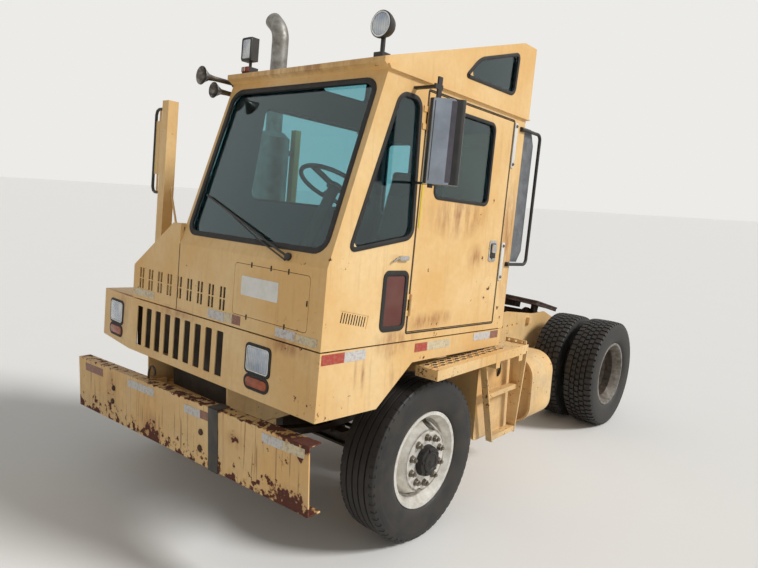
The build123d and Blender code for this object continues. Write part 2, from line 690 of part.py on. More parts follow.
deck_rear = CAB_REAR + 20
with BuildPart() as right_deck:
    with BuildSketch(level(fascia_top - 2 * SKIN)):
        Polygon((FRONT_X - 30, HOOD_RIGHT + 40), (FRONT_X - 32, FASCIA_RIGHT), (WING_END[0] - 8, WING_END[1]),
                (deck_rear, WING_END[1]), (deck_rear, HOOD_RIGHT + 40), align=None)
    extrude(amount=2 * SKIN)
    add(box((deck_rear, WING_END[0] - 12), (WING_END[1], WING_END[1] + SKIN), (fascia_top - 80, fascia_top)))
    for x in ((640, 700), (-420, -360)):
        add(box(x, (WING_END[1] + 30, -LEG_IN), (fascia_top - 62, fascia_top - 2 * SKIN)))
        add(leg(x, (-RAIL_OUT, -LEG_IN), fascia_top - 62))
keep("right_deck", right_deck.part, LEANING)

# Deck plank, ladder and tanks on the driver's side
plank_low = PLANK_TOP - PLANK_DEPTH
plank_middle = (PLANK_IN + PLANK_OUT) / 2
GRIP_HOLES = (9, 2)
GRIP_PITCH = (74, 62)
GRIP_HOLE = (26, 13)
END_RISE = 28
END_HOLE = 9
ARMS = (-560, -860)
ARM_HALF = 25
ARM_DROP = 40
HANGER_REAR = -1022
HANGER_OUT = PLANK_OUT - 32
with BuildPart() as plank:
    add(box((PLANK_REAR, PLANK_FRONT), (PLANK_IN, PLANK_OUT), (PLANK_TOP - PLANK_SHEET, PLANK_TOP)))
    for y in (PLANK_IN, PLANK_OUT - PLANK_SHEET):
        add(box((PLANK_REAR, PLANK_FRONT), (y, y + PLANK_SHEET), (plank_low, PLANK_TOP)))
    add(box((PLANK_FRONT - PLANK_SHEET, PLANK_FRONT), (PLANK_IN, PLANK_OUT), (plank_low, PLANK_TOP)))
    with BuildSketch(level(PLANK_TOP - PLANK_SHEET)):
        with Locations((PLANK_FRONT - 340, plank_middle)):
            with GridLocations(*GRIP_PITCH, *GRIP_HOLES):
                Polygon((-GRIP_HOLE[0], 0), (0, -GRIP_HOLE[1]), (GRIP_HOLE[0], 0), (0, GRIP_HOLE[1]), align=None)
    extrude(amount=PLANK_SHEET, mode=Mode.SUBTRACT)
    # End plate with bolt holes, and the hanger behind it for the ladder
    with BuildSketch(front(PLANK_REAR)):
        Polygon((PLANK_IN, plank_low), (PLANK_OUT, plank_low), (PLANK_OUT, PLANK_TOP + END_RISE),
                (PLANK_IN, PLANK_TOP + END_RISE), align=None)
        with Locations((plank_middle, PLANK_TOP + END_RISE / 2)):
            with GridLocations(PLANK_WIDTH / 3, 1, 3, 1):
                Circle(END_HOLE, mode=Mode.SUBTRACT)
    extrude(amount=8)
    add(box((HANGER_REAR, PLANK_REAR), (PLANK_IN, HANGER_OUT), (plank_low, PLANK_TOP - 2 * END_HOLE)))
    # Arms that carry the plank from the frame
    for x in ARMS:
        add(box((x - ARM_HALF, x + ARM_HALF), (RAIL_OUT, PLANK_OUT), (plank_low - ARM_DROP, plank_low)))
        add(box((x - ARM_HALF, x + ARM_HALF), (RAIL_OUT, RAIL_OUT + STEP_PLATE), (RAIL_TOP - 120, plank_low)))
keep("step_plank", plank.part)

# Ladder: the front stringer slants back to the foot, the rear one narrows towards it
LADDER_LOW = 422
LADDER_OUT = PLANK_OUT - 92
TREADS = (468, 788)
TREAD_DEPTH = 34
# Columns: x at the top, x at the foot, height of the top, inner y, outer y at the top
STRINGERS = (
    (-566, -730, plank_low - ARM_DROP, PLANK_IN + 20, LADDER_OUT),
    (-1010, -1036, plank_low, PLANK_IN, HANGER_OUT),
)


def stringer(top_x, low_x, top_z, in_y, top_out):
    """A slanted plate whose outer edge runs in to LADDER_OUT at the foot."""
    with BuildPart() as plate:
        with BuildSketch(side(top_out)):
            Polygon((top_x, top_z), (low_x, LADDER_LOW), (low_x - STEP_PLATE, LADDER_LOW),
                    (top_x - STEP_PLATE, top_z), align=None)
        extrude(amount=top_out - in_y)
        with BuildSketch(front(low_x - STEP_PLATE)):
            Polygon((in_y, LADDER_LOW), (LADDER_OUT, LADDER_LOW), (top_out, top_z), (in_y, top_z), align=None)
        extrude(amount=top_x - low_x + STEP_PLATE, mode=Mode.INTERSECT)
    return plate.part


with BuildPart() as ladder:
    for row in STRINGERS:
        add(stringer(*row))
    for top in TREADS:
        ends = [top_x + (low_x - top_x) * (top_z - top) / (top_z - LADDER_LOW)
                for top_x, low_x, top_z, in_y, top_out in STRINGERS]
        add(box((ends[1] - STEP_PLATE / 2, ends[0] - STEP_PLATE / 2), (PLANK_IN + 20, LADDER_OUT),
                (top - TREAD_DEPTH, top)))
keep("step_ladder", ladder.part)

HYD_TOP = 945
HYD_STANDOFF = 40
FILLER_RADIUS = 34
FILLER_RISE = 40
with BuildPart() as hydraulic_tank:
    add(slab(oblong((HYD_REAR, TANK_LOW + 30), (HYD_FRONT, HYD_TOP), 30), side(HYD_OUT),
             HYD_OUT - RAIL_OUT - HYD_STANDOFF))
    add(along_z((HYD_FRONT - 90, HYD_OUT - 70), FILLER_RADIUS, HYD_TOP, HYD_TOP + FILLER_RISE))
    for x in (HYD_FRONT - 120, HYD_REAR + 60):
        add(box((x, x + 60), (RAIL_OUT, RAIL_OUT + HYD_STANDOFF + 2), (700, 900)))
keep("hydraulic_tank", hydraulic_tank.part)

# Fuel tank: a D section, round side out, its front end set back inside the shell
tank_round = 150
TANK_RIM = 26
TANK_BEAD = 5
TANK_CAP = 45
with BuildSketch() as tank_outline:
    Polygon((TANK_IN, TANK_LOW), (TANK_OUT, TANK_LOW), (TANK_OUT, TANK_HIGH), (TANK_IN, TANK_HIGH), align=None)
    fillet(tank_outline.vertices().group_by(Axis.X)[-1], tank_round)
    fillet(tank_outline.vertices().group_by(Axis.X)[0], 40)
with BuildPart() as fuel_tank:
    with BuildSketch(front(TANK_REAR)):
        add(tank_outline.sketch)
    extrude(amount=TANK_FRONT - TANK_REAR)
    for x, depth in ((TANK_FRONT, -60), (TANK_REAR, 30)):
        with BuildSketch(front(x)):
            add(offset(tank_outline.sketch, -TANK_WALL, mode=Mode.PRIVATE))
        extrude(amount=depth, mode=Mode.SUBTRACT)
    with BuildSketch(front(TANK_FRONT - TANK_RIM)):
        add(offset(tank_outline.sketch, TANK_BEAD, mode=Mode.PRIVATE))
        add(offset(tank_outline.sketch, -TANK_WALL, mode=Mode.PRIVATE), mode=Mode.SUBTRACT)
    extrude(amount=TANK_RIM)
    add(along_z(((TANK_FRONT + TANK_REAR) / 2, TANK_OUT - 260), TANK_CAP, TANK_HIGH, TANK_HIGH + TANK_CAP))
    for x, mount_y in ((TANK_REAR + 40, RAIL_OUT + SIDE_PLATE), (TANK_FRONT - 90, RAIL_OUT)):
        add(box((x, x + 50), (mount_y, TANK_IN + 2), (640, 900)))
keep("fuel_tank", fuel_tank.part)

with BuildPart() as rear_deck:
    add(box((-1460, -780), (-RAIL_OUT, RAIL_OUT), (RAIL_TOP, RAIL_TOP + 8)))
    for x in (-1460, -788):
        add(box((x, x + 8), (-RAIL_OUT, RAIL_OUT), (RAIL_TOP, RAIL_TOP + 40)))
keep("rear_deck", rear_deck.part)

TAIL_LAMP = 32
with BuildPart() as tail_lamps:
    for y in (-300, 300):
        with BuildSketch(front(FRAME_REAR)):
            with Locations((y, (tail_corner + TAIL_TOP) / 2)):
                Circle(TAIL_LAMP)
        extrude(amount=-25)
keep("tail_lamps", tail_lamps.part)

# Exhaust: muffler on the right deck, its stack and bent tip, and the post that carries them
STACK = (-200, -760)
MUFFLER_RADIUS = 132
PIPE_RADIUS = 65
MUFFLER = (1520, 2520)
STACK_TOP = 3230
POST_AT = (-350, -690)
POST_SIZE = 55
TIP_BEND = 170
TIP_TURN = 50
with BuildPart() as exhaust:
    with BuildSketch(level(MUFFLER[0])):
        with Locations(STACK):
            Circle(MUFFLER_RADIUS)
    extrude(amount=MUFFLER[1] - MUFFLER[0])
    chamfer(exhaust.edges().filter_by(GeomType.CIRCLE), 45)
    add(along_z(STACK, 55, fascia_top, MUFFLER[0]))
    with BuildLine(front(STACK[0])) as pipe_path:
        rise = Line((STACK[1], MUFFLER[1] - 10), (STACK[1], STACK_TOP))
        curl = JernArc(rise @ 1, rise % 1, TIP_BEND, TIP_TURN)
        Line(curl @ 1, (curl @ 1) + (curl % 1) * 60)
    with BuildSketch(level(MUFFLER[1] - 10)):
        with Locations(STACK):
            Circle(PIPE_RADIUS)
            Circle(PIPE_RADIUS - 3, mode=Mode.SUBTRACT)
    sweep(path=pipe_path.line)
    # Clamp brackets out to the post
    for z in (MUFFLER[0] + 150, MUFFLER[1] - 150):
        add(box((POST_AT[0], STACK[0] - 60), (POST_AT[1] - 8, POST_AT[1] + 8), (z - 20, z + 20)))
keep("exhaust", exhaust.part, LEANING)

with BuildPart() as exhaust_post:
    add(box((POST_AT[0] - POST_SIZE, POST_AT[0]), (POST_AT[1] - POST_SIZE / 2, POST_AT[1] + POST_SIZE / 2),
            (fascia_top, 2560)))
keep("exhaust_post", exhaust_post.part, LEANING)

# Right-hand mirror: a box post with a brace down to the deck, a tube loop and the mirror head in it
POST = (600, -950)
POST_WIDTH = 80
POST_TOP = 2615
LOOP_X = 620
LOOP_Y = -1100
LOOP_TOP = 2560
LOOP_LOW = 1960
LOOP_RADIUS = 10
post_out = POST[1] - POST_WIDTH / 2
post_in = POST[1] + POST_WIDTH / 2
with BuildPart() as right_mirror:
    add(box((POST[0] - POST_WIDTH / 2, POST[0] + POST_WIDTH / 2), (post_out, post_in), (fascia_top, POST_TOP)))
    add(box((POST[0] - POST_WIDTH / 2 + 6, POST[0] + POST_WIDTH / 2 - 6), (post_out + 6, post_in - 6),
            (fascia_top + 10, POST_TOP)), mode=Mode.SUBTRACT)
    add(slab(shape((post_in, 2010), (post_in, 1980), (post_in + 270, fascia_top), (post_in + 300, fascia_top)),
             front(POST[0] - 20), 8))
    with BuildLine(front(LOOP_X)) as loop_path:
        FilletPolyline((post_out + 4, LOOP_TOP), (LOOP_Y, LOOP_TOP), (LOOP_Y, LOOP_LOW), (post_out + 4, LOOP_LOW),
                       radius=40)
    with BuildSketch(side(post_out + 4)):
        with Locations((LOOP_X, LOOP_TOP)):
            Circle(LOOP_RADIUS)
    sweep(path=loop_path.line)
    add(box((LOOP_X - 20, LOOP_X + 2), (LOOP_Y + 8, post_out - 4), (2092, 2476)))
    add(along_z((LOOP_X - 2, (LOOP_Y + post_out) / 2), 7, LOOP_LOW, LOOP_TOP))
keep("right_mirror", right_mirror.part, LEANING)

# Cab shell. The front sheet stands upright to BEND_Z and leans back above it.
screen_slope = SCREEN_RUN / SCREEN_RISE
screen_angle = degrees(atan2(SCREEN_RUN, SCREEN_RISE))


def screen_x(z, inset=0):
    """X of the front sheet at height z, set back by inset along X."""
    return FRONT_X - inset - max(0, z - BEND_Z) * screen_slope


inset = WALL / cos(radians(screen_angle))
SCREEN = Plane(origin=(FRONT_X, 0, BEND_Z), x_dir=(0, 1, 0),
               z_dir=(cos(radians(screen_angle)), 0, sin(radians(screen_angle))))
screen_height = (EAVE_Z - BEND_Z) / cos(radians(screen_angle))
SCREEN_EDGE = (0, 1148)
SCREEN_LOW = 76
SCREEN_HIGH = screen_height - 52
SCREEN_ROUND = 75
PANEL_LOW = (500, 1340)
PANEL_HIGH = (1095, 1620)
PANEL_DEPTH = 10
louvres = [y - 2 for y in slots]
LOUVRE = (20, 62)
LOUVRE_Z = (1371, 1440)
front_profile = [
    (FRONT_X, SEAM_Z), (FRONT_X, BEND_Z), (screen_x(EAVE_Z), EAVE_Z),
    (screen_x(EAVE_Z, inset), EAVE_Z), (screen_x(BEND_Z, WALL), BEND_Z), (FRONT_X - WALL, SEAM_Z),
]


def louvre_slots(low, high):
    """Paired louvre slots whose set lies between two Y values."""
    with BuildSketch() as openings:
        for y in louvres:
            if low < y < high:
                for half in (-16, 16):
                    for z in LOUVRE_Z:
                        with Locations((y + half, z)):
                            Rectangle(*LOUVRE)
    return openings.sketch


with BuildPart() as cab_front:
    add(slab(shape(*front_profile), side(LEFT_Y), LEFT_Y - CAB_RIGHT))
    with BuildSketch(SCREEN):
        add(oblong((SCREEN_EDGE[0], SCREEN_LOW), (SCREEN_EDGE[1], SCREEN_HIGH), SCREEN_ROUND))
    extrude(amount=-2 * WALL, mode=Mode.SUBTRACT)
    with BuildSketch(front(FRONT_X)):
        add(louvre_slots(CAB_RIGHT, LEFT_Y))
    extrude(amount=-WALL, mode=Mode.SUBTRACT)
    with BuildSketch(front(FRONT_X)):
        add(oblong(PANEL_LOW, PANEL_HIGH, 22))
    extrude(amount=-PANEL_DEPTH, mode=Mode.SUBTRACT)
keep("cab_front", cab_front.part, LEANING)

PANEL_FIT = 3
with BuildPart() as access_panel:
    with BuildSketch(front(FRONT_X - PANEL_DEPTH)):
        add(oblong((PANEL_LOW[0] + PANEL_FIT, PANEL_LOW[1] + PANEL_FIT),
                   (PANEL_HIGH[0] - PANEL_FIT, PANEL_HIGH[1] - PANEL_FIT), 20))
    extrude(amount=PANEL_DEPTH)
keep("access_panel", access_panel.part, LEANING)

# Side walls, behind the front sheet. The door's hinge pins stand on the left one.
DOOR_AXIS = (DOOR_FRONT + DOOR_GAP / 2, LEFT_Y + 11)
DOOR_HINGES = (DOOR_BOTTOM + 148, DOOR_TOP - 137)
HINGE_RADIUS = 9
HINGE_PIN = 5
wall_line = [
    (FRONT_X - WALL, SEAM_Z), (screen_x(BEND_Z, WALL), BEND_Z), (screen_x(EAVE_Z, inset), EAVE_Z),
    (CAB_REAR, EAVE_Z), (CAB_REAR, SEAM_Z),
]
front_window = [(886, 1752), (610, WINDOW_TOP), (438, WINDOW_TOP), (402, 1835)]
kick_window = [(413, 1345), (598, 1345), (598, 1646), (413, 1646)]
VENT = (810, 1413)
VENT_SIZE = (213, 68)
VENT_TURN = 10.5
VENT_SLOTS = 10
VENT_PITCH = 19
VENT_SLOT = (8, 52)
door_hole = [
    (DOOR_REAR - DOOR_GAP, DOOR_BOTTOM - DOOR_GAP), (DOOR_FRONT + DOOR_GAP, DOOR_BOTTOM - DOOR_GAP),
    (DOOR_FRONT + DOOR_GAP, DOOR_TOP + DOOR_GAP), (DOOR_REAR - DOOR_GAP, DOOR_TOP + DOOR_GAP),
]
right_window = [(560, 1960), (480, WINDOW_TOP), (-520, WINDOW_TOP), (-520, 1960)]
with BuildPart() as left_wall:
    add(slab(shape(*wall_line), side(LEFT_Y), WALL))
    with BuildSketch(side(LEFT_Y)):
        add(rounded(front_window, 55))
        add(rounded(kick_window, 30))
        add(shape(*door_hole))
    extrude(amount=WALL, mode=Mode.SUBTRACT)
    # Slanted vent: a row of narrow slots in a shallow frame
    for size, count, depth in ((VENT_SIZE, 1, 3), (VENT_SLOT, VENT_SLOTS, 15)):
        with BuildSketch(side(LEFT_Y)):
            with Locations(Location((*VENT, 0), (0, 0, VENT_TURN))):
                with GridLocations(VENT_PITCH, 1, count, 1):
                    Rectangle(*size)
        extrude(amount=depth, mode=Mode.SUBTRACT)
    for z in DOOR_HINGES:
        for low, high in ((z - 60, z - 30 - FIT_GAP), (z + 30 + FIT_GAP, z + 60)):
            add(box((DOOR_AXIS[0], DOOR_AXIS[0] + 40), (LEFT_Y, LEFT_Y + 5), (low, high)))
            add(along_z(DOOR_AXIS, HINGE_RADIUS, low, high))
        add(along_z(DOOR_AXIS, HINGE_PIN, z - 60, z + 60))
keep("cab_left_wall", left_wall.part, LEANING)

with BuildPart() as right_wall:
    add(slab(shape(*wall_line), side(CAB_RIGHT + WALL), WALL))
    with BuildSketch(side(CAB_RIGHT + WALL)):
        add(rounded(right_window, 60))
    extrude(amount=WALL, mode=Mode.SUBTRACT)
keep("cab_right_wall", right_wall.part, LEANING)

REAR_DOOR = ((330, 1000), (1330, WINDOW_TOP))
REAR_PANE = ((400, 1960), (930, WINDOW_TOP - 80))
PANE_ROUND = 40
inner_left = LEFT_Y - WALL
inner_right = CAB_RIGHT + WALL
REAR_DOOR_THICK = 28
RAIL_STRIP = 24
rear_face = CAB_REAR - 14
slide_low = REAR_DOOR[1][0] - 26
slide_high = REAR_DOOR[1][1] + 18
rear_window = [(40, 1960), (290, 1960), (290, WINDOW_TOP - 60), (40, WINDOW_TOP - 60)]
with BuildPart() as rear_wall:
    with BuildSketch(front(CAB_REAR)):
        Polygon((inner_right, SEAM_Z), (inner_left, SEAM_Z), (inner_left, EAVE_Z), (inner_right, EAVE_Z),
                align=None)
        add(oblong((REAR_DOOR[0][0], REAR_DOOR[1][0]), (REAR_DOOR[0][1], REAR_DOOR[1][1]), PANE_ROUND),
            mode=Mode.SUBTRACT)
        add(rounded(rear_window, PANE_ROUND), mode=Mode.SUBTRACT)
    extrude(amount=WALL)
    # Rails that the sliding door runs between
    for z in (slide_low - RAIL_STRIP, slide_high):
        add(box((rear_face - REAR_DOOR_THICK - 2, CAB_REAR), (-305, 1090), (z, z + RAIL_STRIP)))
keep("cab_rear_wall", rear_wall.part, LEANING)

with BuildPart() as cab_floor:
    add(box((CAB_REAR + WALL, FRONT_X - WALL), (inner_right, inner_left), (SEAM_Z, SEAM_Z + FLOOR)))
keep("cab_floor", cab_floor.part, LEANING)

# Raised roof: a hollow wedge with side windows, drip rails and a peak over the screen
ROOF_REAR = CAB_REAR - 25
ROOF_FRONT = (738, EAVE_Z + 52)
ROOF_TOP = (-549, EAVE_Z + 455)
VISOR = 42
roof_line = [
    (screen_x(EAVE_Z), EAVE_Z), (screen_x(EAVE_Z) + VISOR, ROOF_FRONT[1] - 26),
    (screen_x(EAVE_Z) + VISOR, ROOF_FRONT[1]), ROOF_TOP, (ROOF_REAR, ROOF_TOP[1]), (ROOF_REAR, EAVE_Z),
]
hollow_line = [
    (screen_x(EAVE_Z) - WALL, EAVE_Z), (screen_x(EAVE_Z) - WALL, ROOF_FRONT[1] - 22),
    (ROOF_TOP[0], ROOF_TOP[1] - WALL), (CAB_REAR + WALL, ROOF_TOP[1] - WALL), (CAB_REAR + WALL, EAVE_Z),
]
roof_window = [(70, EAVE_Z + 112), (-482, EAVE_Z + 118), (-498, EAVE_Z + 377), (-60, EAVE_Z + 241)]
roof_left = LEFT_Y + ROOF_OVERHANG
roof_right = CAB_RIGHT - ROOF_OVERHANG
with BuildPart() as roof:
    add(slab(shape(*roof_line), side(roof_left), roof_left - roof_right))
    add(slab(shape(*hollow_line), side(inner_left), inner_left - inner_right), mode=Mode.SUBTRACT)
    with BuildSketch(side(roof_left)):
        add(rounded(roof_window, 45))
    extrude(amount=roof_left - roof_right, mode=Mode.SUBTRACT)
    for y in (roof_left, roof_right + 10):
        add(slab(shape((screen_x(EAVE_Z) + 20, EAVE_Z + 22), (ROOF_REAR, EAVE_Z + 8), (ROOF_REAR, EAVE_Z),
                       (screen_x(EAVE_Z), EAVE_Z + 2)), side(y + 10), 20))
keep("cab_roof", roof.part, LEANING)


def pane(corners, radius, plane, depth):
    """A glass pane that fits an opening, set back from the plane by depth."""
    with BuildPart() as glass:
        with BuildSketch(plane.offset(depth)):
            add(offset(rounded(corners, radius), -FIT_GAP, mode=Mode.PRIVATE))
        extrude(amount=GLASS)
    return glass.part


with BuildPart() as cab_glass:
    with BuildSketch(SCREEN.offset(-18)):
        add(oblong((SCREEN_EDGE[0] + FIT_GAP, SCREEN_LOW + FIT_GAP),
                   (SCREEN_EDGE[1] - FIT_GAP, SCREEN_HIGH - FIT_GAP), SCREEN_ROUND - FIT_GAP))
    extrude(amount=-GLASS)
    add(pane(front_window, 55, side(LEFT_Y), 12))
    add(pane(kick_window, 30, side(LEFT_Y), 12))
    add(pane(right_window, 60, side(CAB_RIGHT), -18))
    add(pane(roof_window, 45, side(roof_left), 14))
    add(pane(roof_window, 45, side(roof_right), -20))
    add(pane(rear_window, PANE_ROUND, front(CAB_REAR), 12))
keep("cab_glass", cab_glass.part, LEANING)

# Hood over the engine, right of the cab
hood_line = [
    (HOOD_RIGHT, SEAM_Z), (HOOD_RIGHT, 1482), (-128, 1784), (CAB_RIGHT, 1784), (CAB_RIGHT, SEAM_Z),
]
hood_inner = [
    (HOOD_RIGHT + HOOD_WALL, SEAM_Z), (HOOD_RIGHT + HOOD_WALL, 1474), (-122, 1764),
    (CAB_RIGHT, 1764), (CAB_RIGHT, SEAM_Z),
]
with BuildPart() as hood:
    add(slab(shape(*hood_line), front(CAB_REAR), FRONT_X - CAB_REAR))
    add(slab(shape(*hood_inner), front(CAB_REAR + HOOD_WALL), FRONT_X - CAB_REAR - 2 * HOOD_WALL),
        mode=Mode.SUBTRACT)
    with BuildSketch(front(FRONT_X)):
        add(louvre_slots(HOOD_RIGHT, CAB_RIGHT))
    extrude(amount=-HOOD_WALL, mode=Mode.SUBTRACT)
keep("hood", hood.part, LEANING)

# Driver's door with its glass, and the sliding rear door
door_window = [(250, 2060), (250, DOOR_TOP - 50), (-320, DOOR_TOP - 50), (-320, 2060)]
with BuildPart() as door:
    with BuildSketch(side(LEFT_Y)):
        Polygon((DOOR_REAR, DOOR_BOTTOM), (DOOR_FRONT, DOOR_BOTTOM), (DOOR_FRONT, DOOR_TOP), (DOOR_REAR, DOOR_TOP),
                align=None)
        add(rounded(door_window, 45), mode=Mode.SUBTRACT)
    extrude(amount=WALL)
    for z in DOOR_HINGES:
        add(box((DOOR_AXIS[0] - 42, DOOR_AXIS[0]), (LEFT_Y, LEFT_Y + 5), (z - 30, z + 30)))
        add(along_z(DOOR_AXIS, HINGE_RADIUS, z - 30, z + 30))
        with BuildSketch(level(z - 30)):
            with Locations(DOOR_AXIS):
                Circle(HINGE_PIN + FIT_GAP)
        extrude(amount=60, mode=Mode.SUBTRACT)
keep("door_left", door.part, LEANING)

with BuildPart() as door_glass:
    add(pane(door_window, 45, side(LEFT_Y), 12))
keep("door_glass", door_glass.part, LEANING)

with BuildPart() as rear_door:
    with BuildSketch(front(rear_face - REAR_DOOR_THICK)):
        add(shape((REAR_DOOR[0][0] - 30, slide_low + FIT_GAP), (REAR_DOOR[0][1] + 30, slide_low + FIT_GAP),
                  (REAR_DOOR[0][1] + 30, slide_high - FIT_GAP), (REAR_DOOR[0][0] - 30, slide_high - FIT_GAP)))
        add(oblong(*REAR_PANE, PANE_ROUND), mode=Mode.SUBTRACT)
    extrude(amount=REAR_DOOR_THICK)
    with BuildSketch(front(rear_face - (REAR_DOOR_THICK + GLASS) / 2)):
        add(offset(oblong(*REAR_PANE, PANE_ROUND), -FIT_GAP, mode=Mode.PRIVATE))
    extrude(amount=GLASS)
keep("rear_door", rear_door.part, LEANING)

# Inside: seat, dash, steering column and wheel
SEAT = (-190, 600)
SEAT_Z = SEAM_Z + 350
SEAT_WIDTH = 500
BACK_WIDTH = 470
back_line = [
    (SEAT[0] - 120, SEAT_Z + 80), (SEAT[0] - 300, SEAT_Z + 670), (SEAT[0] - 380, SEAT_Z + 650),
    (SEAT[0] - 235, SEAT_Z + 20),
]
with BuildPart() as seat:
    add(box((SEAT[0] - 160, SEAT[0] + 160), (SEAT[1] - 150, SEAT[1] + 150), (SEAM_Z + FLOOR, SEAT_Z)))
    add(slab(oblong((SEAT[0] - 230, SEAT_Z), (SEAT[0] + 260, SEAT_Z + 125), 40), side(SEAT[1] + SEAT_WIDTH / 2),
             SEAT_WIDTH))
    add(slab(rounded(back_line, 35), side(SEAT[1] + BACK_WIDTH / 2), BACK_WIDTH))
keep("seat", seat.part, LEANING)

DASH_LOW = SEAM_Z + 200
dash_line = [
    (FRONT_X - WALL, DASH_LOW), (FRONT_X - WALL, DASH_LOW + 170), (FRONT_X - WALL - 60, DASH_LOW + 220),
    (FRONT_X - 300, DASH_LOW + 230), (FRONT_X - 360, DASH_LOW + 170), (FRONT_X - 330, DASH_LOW),
]
with BuildPart() as dash:
    add(slab(rounded(dash_line, 18), side(inner_left), inner_left - inner_right))
keep("dash", dash.part, LEANING)

HAND_WHEEL = (440, 622, 2080)
WHEEL_TILT = 28
wheel_plane = Plane(origin=HAND_WHEEL, x_dir=(0, 1, 0),
                    z_dir=(-sin(radians(WHEEL_TILT)), 0, cos(radians(WHEEL_TILT))))
with BuildPart() as steering_wheel:
    with BuildSketch(Plane(origin=wheel_plane.from_local_coords((215, 0, 0)), x_dir=wheel_plane.x_dir,
                           z_dir=wheel_plane.y_dir)):
        Circle(13)
    revolve(axis=Axis(HAND_WHEEL, wheel_plane.z_dir))
    with BuildSketch(wheel_plane):
        for turn in (30, 150, 270):
            with Locations(Location((0, 0, 0), (0, 0, turn))):
                with Locations((105, 0)):
                    Rectangle(210, 26)
        Circle(48)
    extrude(amount=12, both=True)
    with BuildSketch(wheel_plane.offset(-12)):
        Circle(34)
    extrude(amount=-420)
    # Pedestal that carries the column from the floor
    add(box((600, 644), (HAND_WHEEL[1] - 45, HAND_WHEEL[1] + 45), (SEAM_Z + FLOOR + FIT_GAP, 1740)))
keep("steering_wheel", steering_wheel.part, LEANING)

# Left mirror: a flat bar on two arms with a boxed head
MIRROR = (460, 1385, EAVE_Z - 315)
MIRROR_SIZE = (180, 62, 420)
MIRROR_TURN = 127
BAR = (470, 1338)
BAR_Z = (MIRROR[2] - 230, EAVE_Z + 5)
with BuildPart() as left_mirror:
    with BuildSketch(Plane(origin=(MIRROR[0], MIRROR[1], MIRROR[2] - MIRROR_SIZE[2] / 2),
                           x_dir=(cos(radians(MIRROR_TURN)), sin(radians(MIRROR_TURN)), 0), z_dir=(0, 0, 1))):
        RectangleRounded(MIRROR_SIZE[0], MIRROR_SIZE[1], 22)
    extrude(amount=MIRROR_SIZE[2])
    add(box((BAR[0] - 6, BAR[0] + 26), (BAR[1] - 5, BAR[1] + 5), BAR_Z))
    for z, x in ((BAR_Z[1] - 50, 500), (BAR_Z[0] + 25, 440)):
        add(box((x - 14, x + 14), (LEFT_Y, BAR[1] + 5), (z - 6, z + 6)))
        add(box((min(x, BAR[0]) - 14, max(x, BAR[0]) + 20), (BAR[1] - 5, BAR[1] + 5), (z - 12, z + 12)))
keep("left_mirror", left_mirror.part, LEANING)

# Trumpet horns beside the roof, and the two lamps on top of it
with BuildPart() as horns:
    for bell_x, throat_x, z, radius in ((905, 640, EAVE_Z + 23, 55), (820, 640, EAVE_Z - 45, 48)):
        y = roof_right - radius - 4
        with BuildSketch(Plane(origin=(0, y, z), x_dir=(1, 0, 0), z_dir=(0, -1, 0))):
            Polygon((throat_x, 0), (throat_x, 13), (bell_x - 90, 15), (bell_x - 30, radius * 0.6),
                    (bell_x, radius), (bell_x, 0), align=None)
        revolve(axis=Axis((0, y, z), (1, 0, 0)))
        add(box((throat_x + 20, throat_x + 45), (y, roof_right if z > EAVE_Z else CAB_RIGHT), (z - 10, z + 10)))
keep("horns", horns.part, LEANING)

LAMP_AT = (672, 1105)
LAMP_Z = 2872
BOX_LAMP = (668, 40)


def roof_z(x):
    """Height of the roof's sloping top at x."""
    rise = (ROOF_TOP[1] - ROOF_FRONT[1]) / (screen_x(EAVE_Z) + VISOR - ROOF_TOP[0])
    return ROOF_FRONT[1] + (screen_x(EAVE_Z) + VISOR - x) * rise


def roof_foot(centre, half, height):
    """A block that sits on the sloping roof round a point (x, y)."""
    x_low, x_high = centre[0] - half, centre[0] + half
    return slab(shape((x_low, roof_z(x_low)), (x_high, roof_z(x_high)), (x_high, roof_z(x_high) + height),
                      (x_low, roof_z(x_high) + height)), side(centre[1] + half), 2 * half)


with BuildPart() as roof_lamps:
    add(along_z(LAMP_AT, 12, roof_z(LAMP_AT[0]) + 8, LAMP_Z))
    add(roof_foot(LAMP_AT, 30, 24))
    with BuildSketch(Plane(origin=(LAMP_AT[0], LAMP_AT[1], LAMP_Z), x_dir=(1, 0, 0), z_dir=(0, -1, 0))):
        Polygon((-52, 0), (-40, 34), (0, 62), (26, 64), (26, 0), align=None)
    revolve(axis=Axis((LAMP_AT[0], LAMP_AT[1], LAMP_Z), (1, 0, 0)))
    add(roof_foot(BOX_LAMP, 34, 38))
    add(along_z(BOX_LAMP, 9, roof_z(BOX_LAMP[0]) + 20, 2790))
    add(box((645, 700), (-8, 82), (2790, 2925)))
keep("roof_lamps", roof_lamps.part, LEANING)

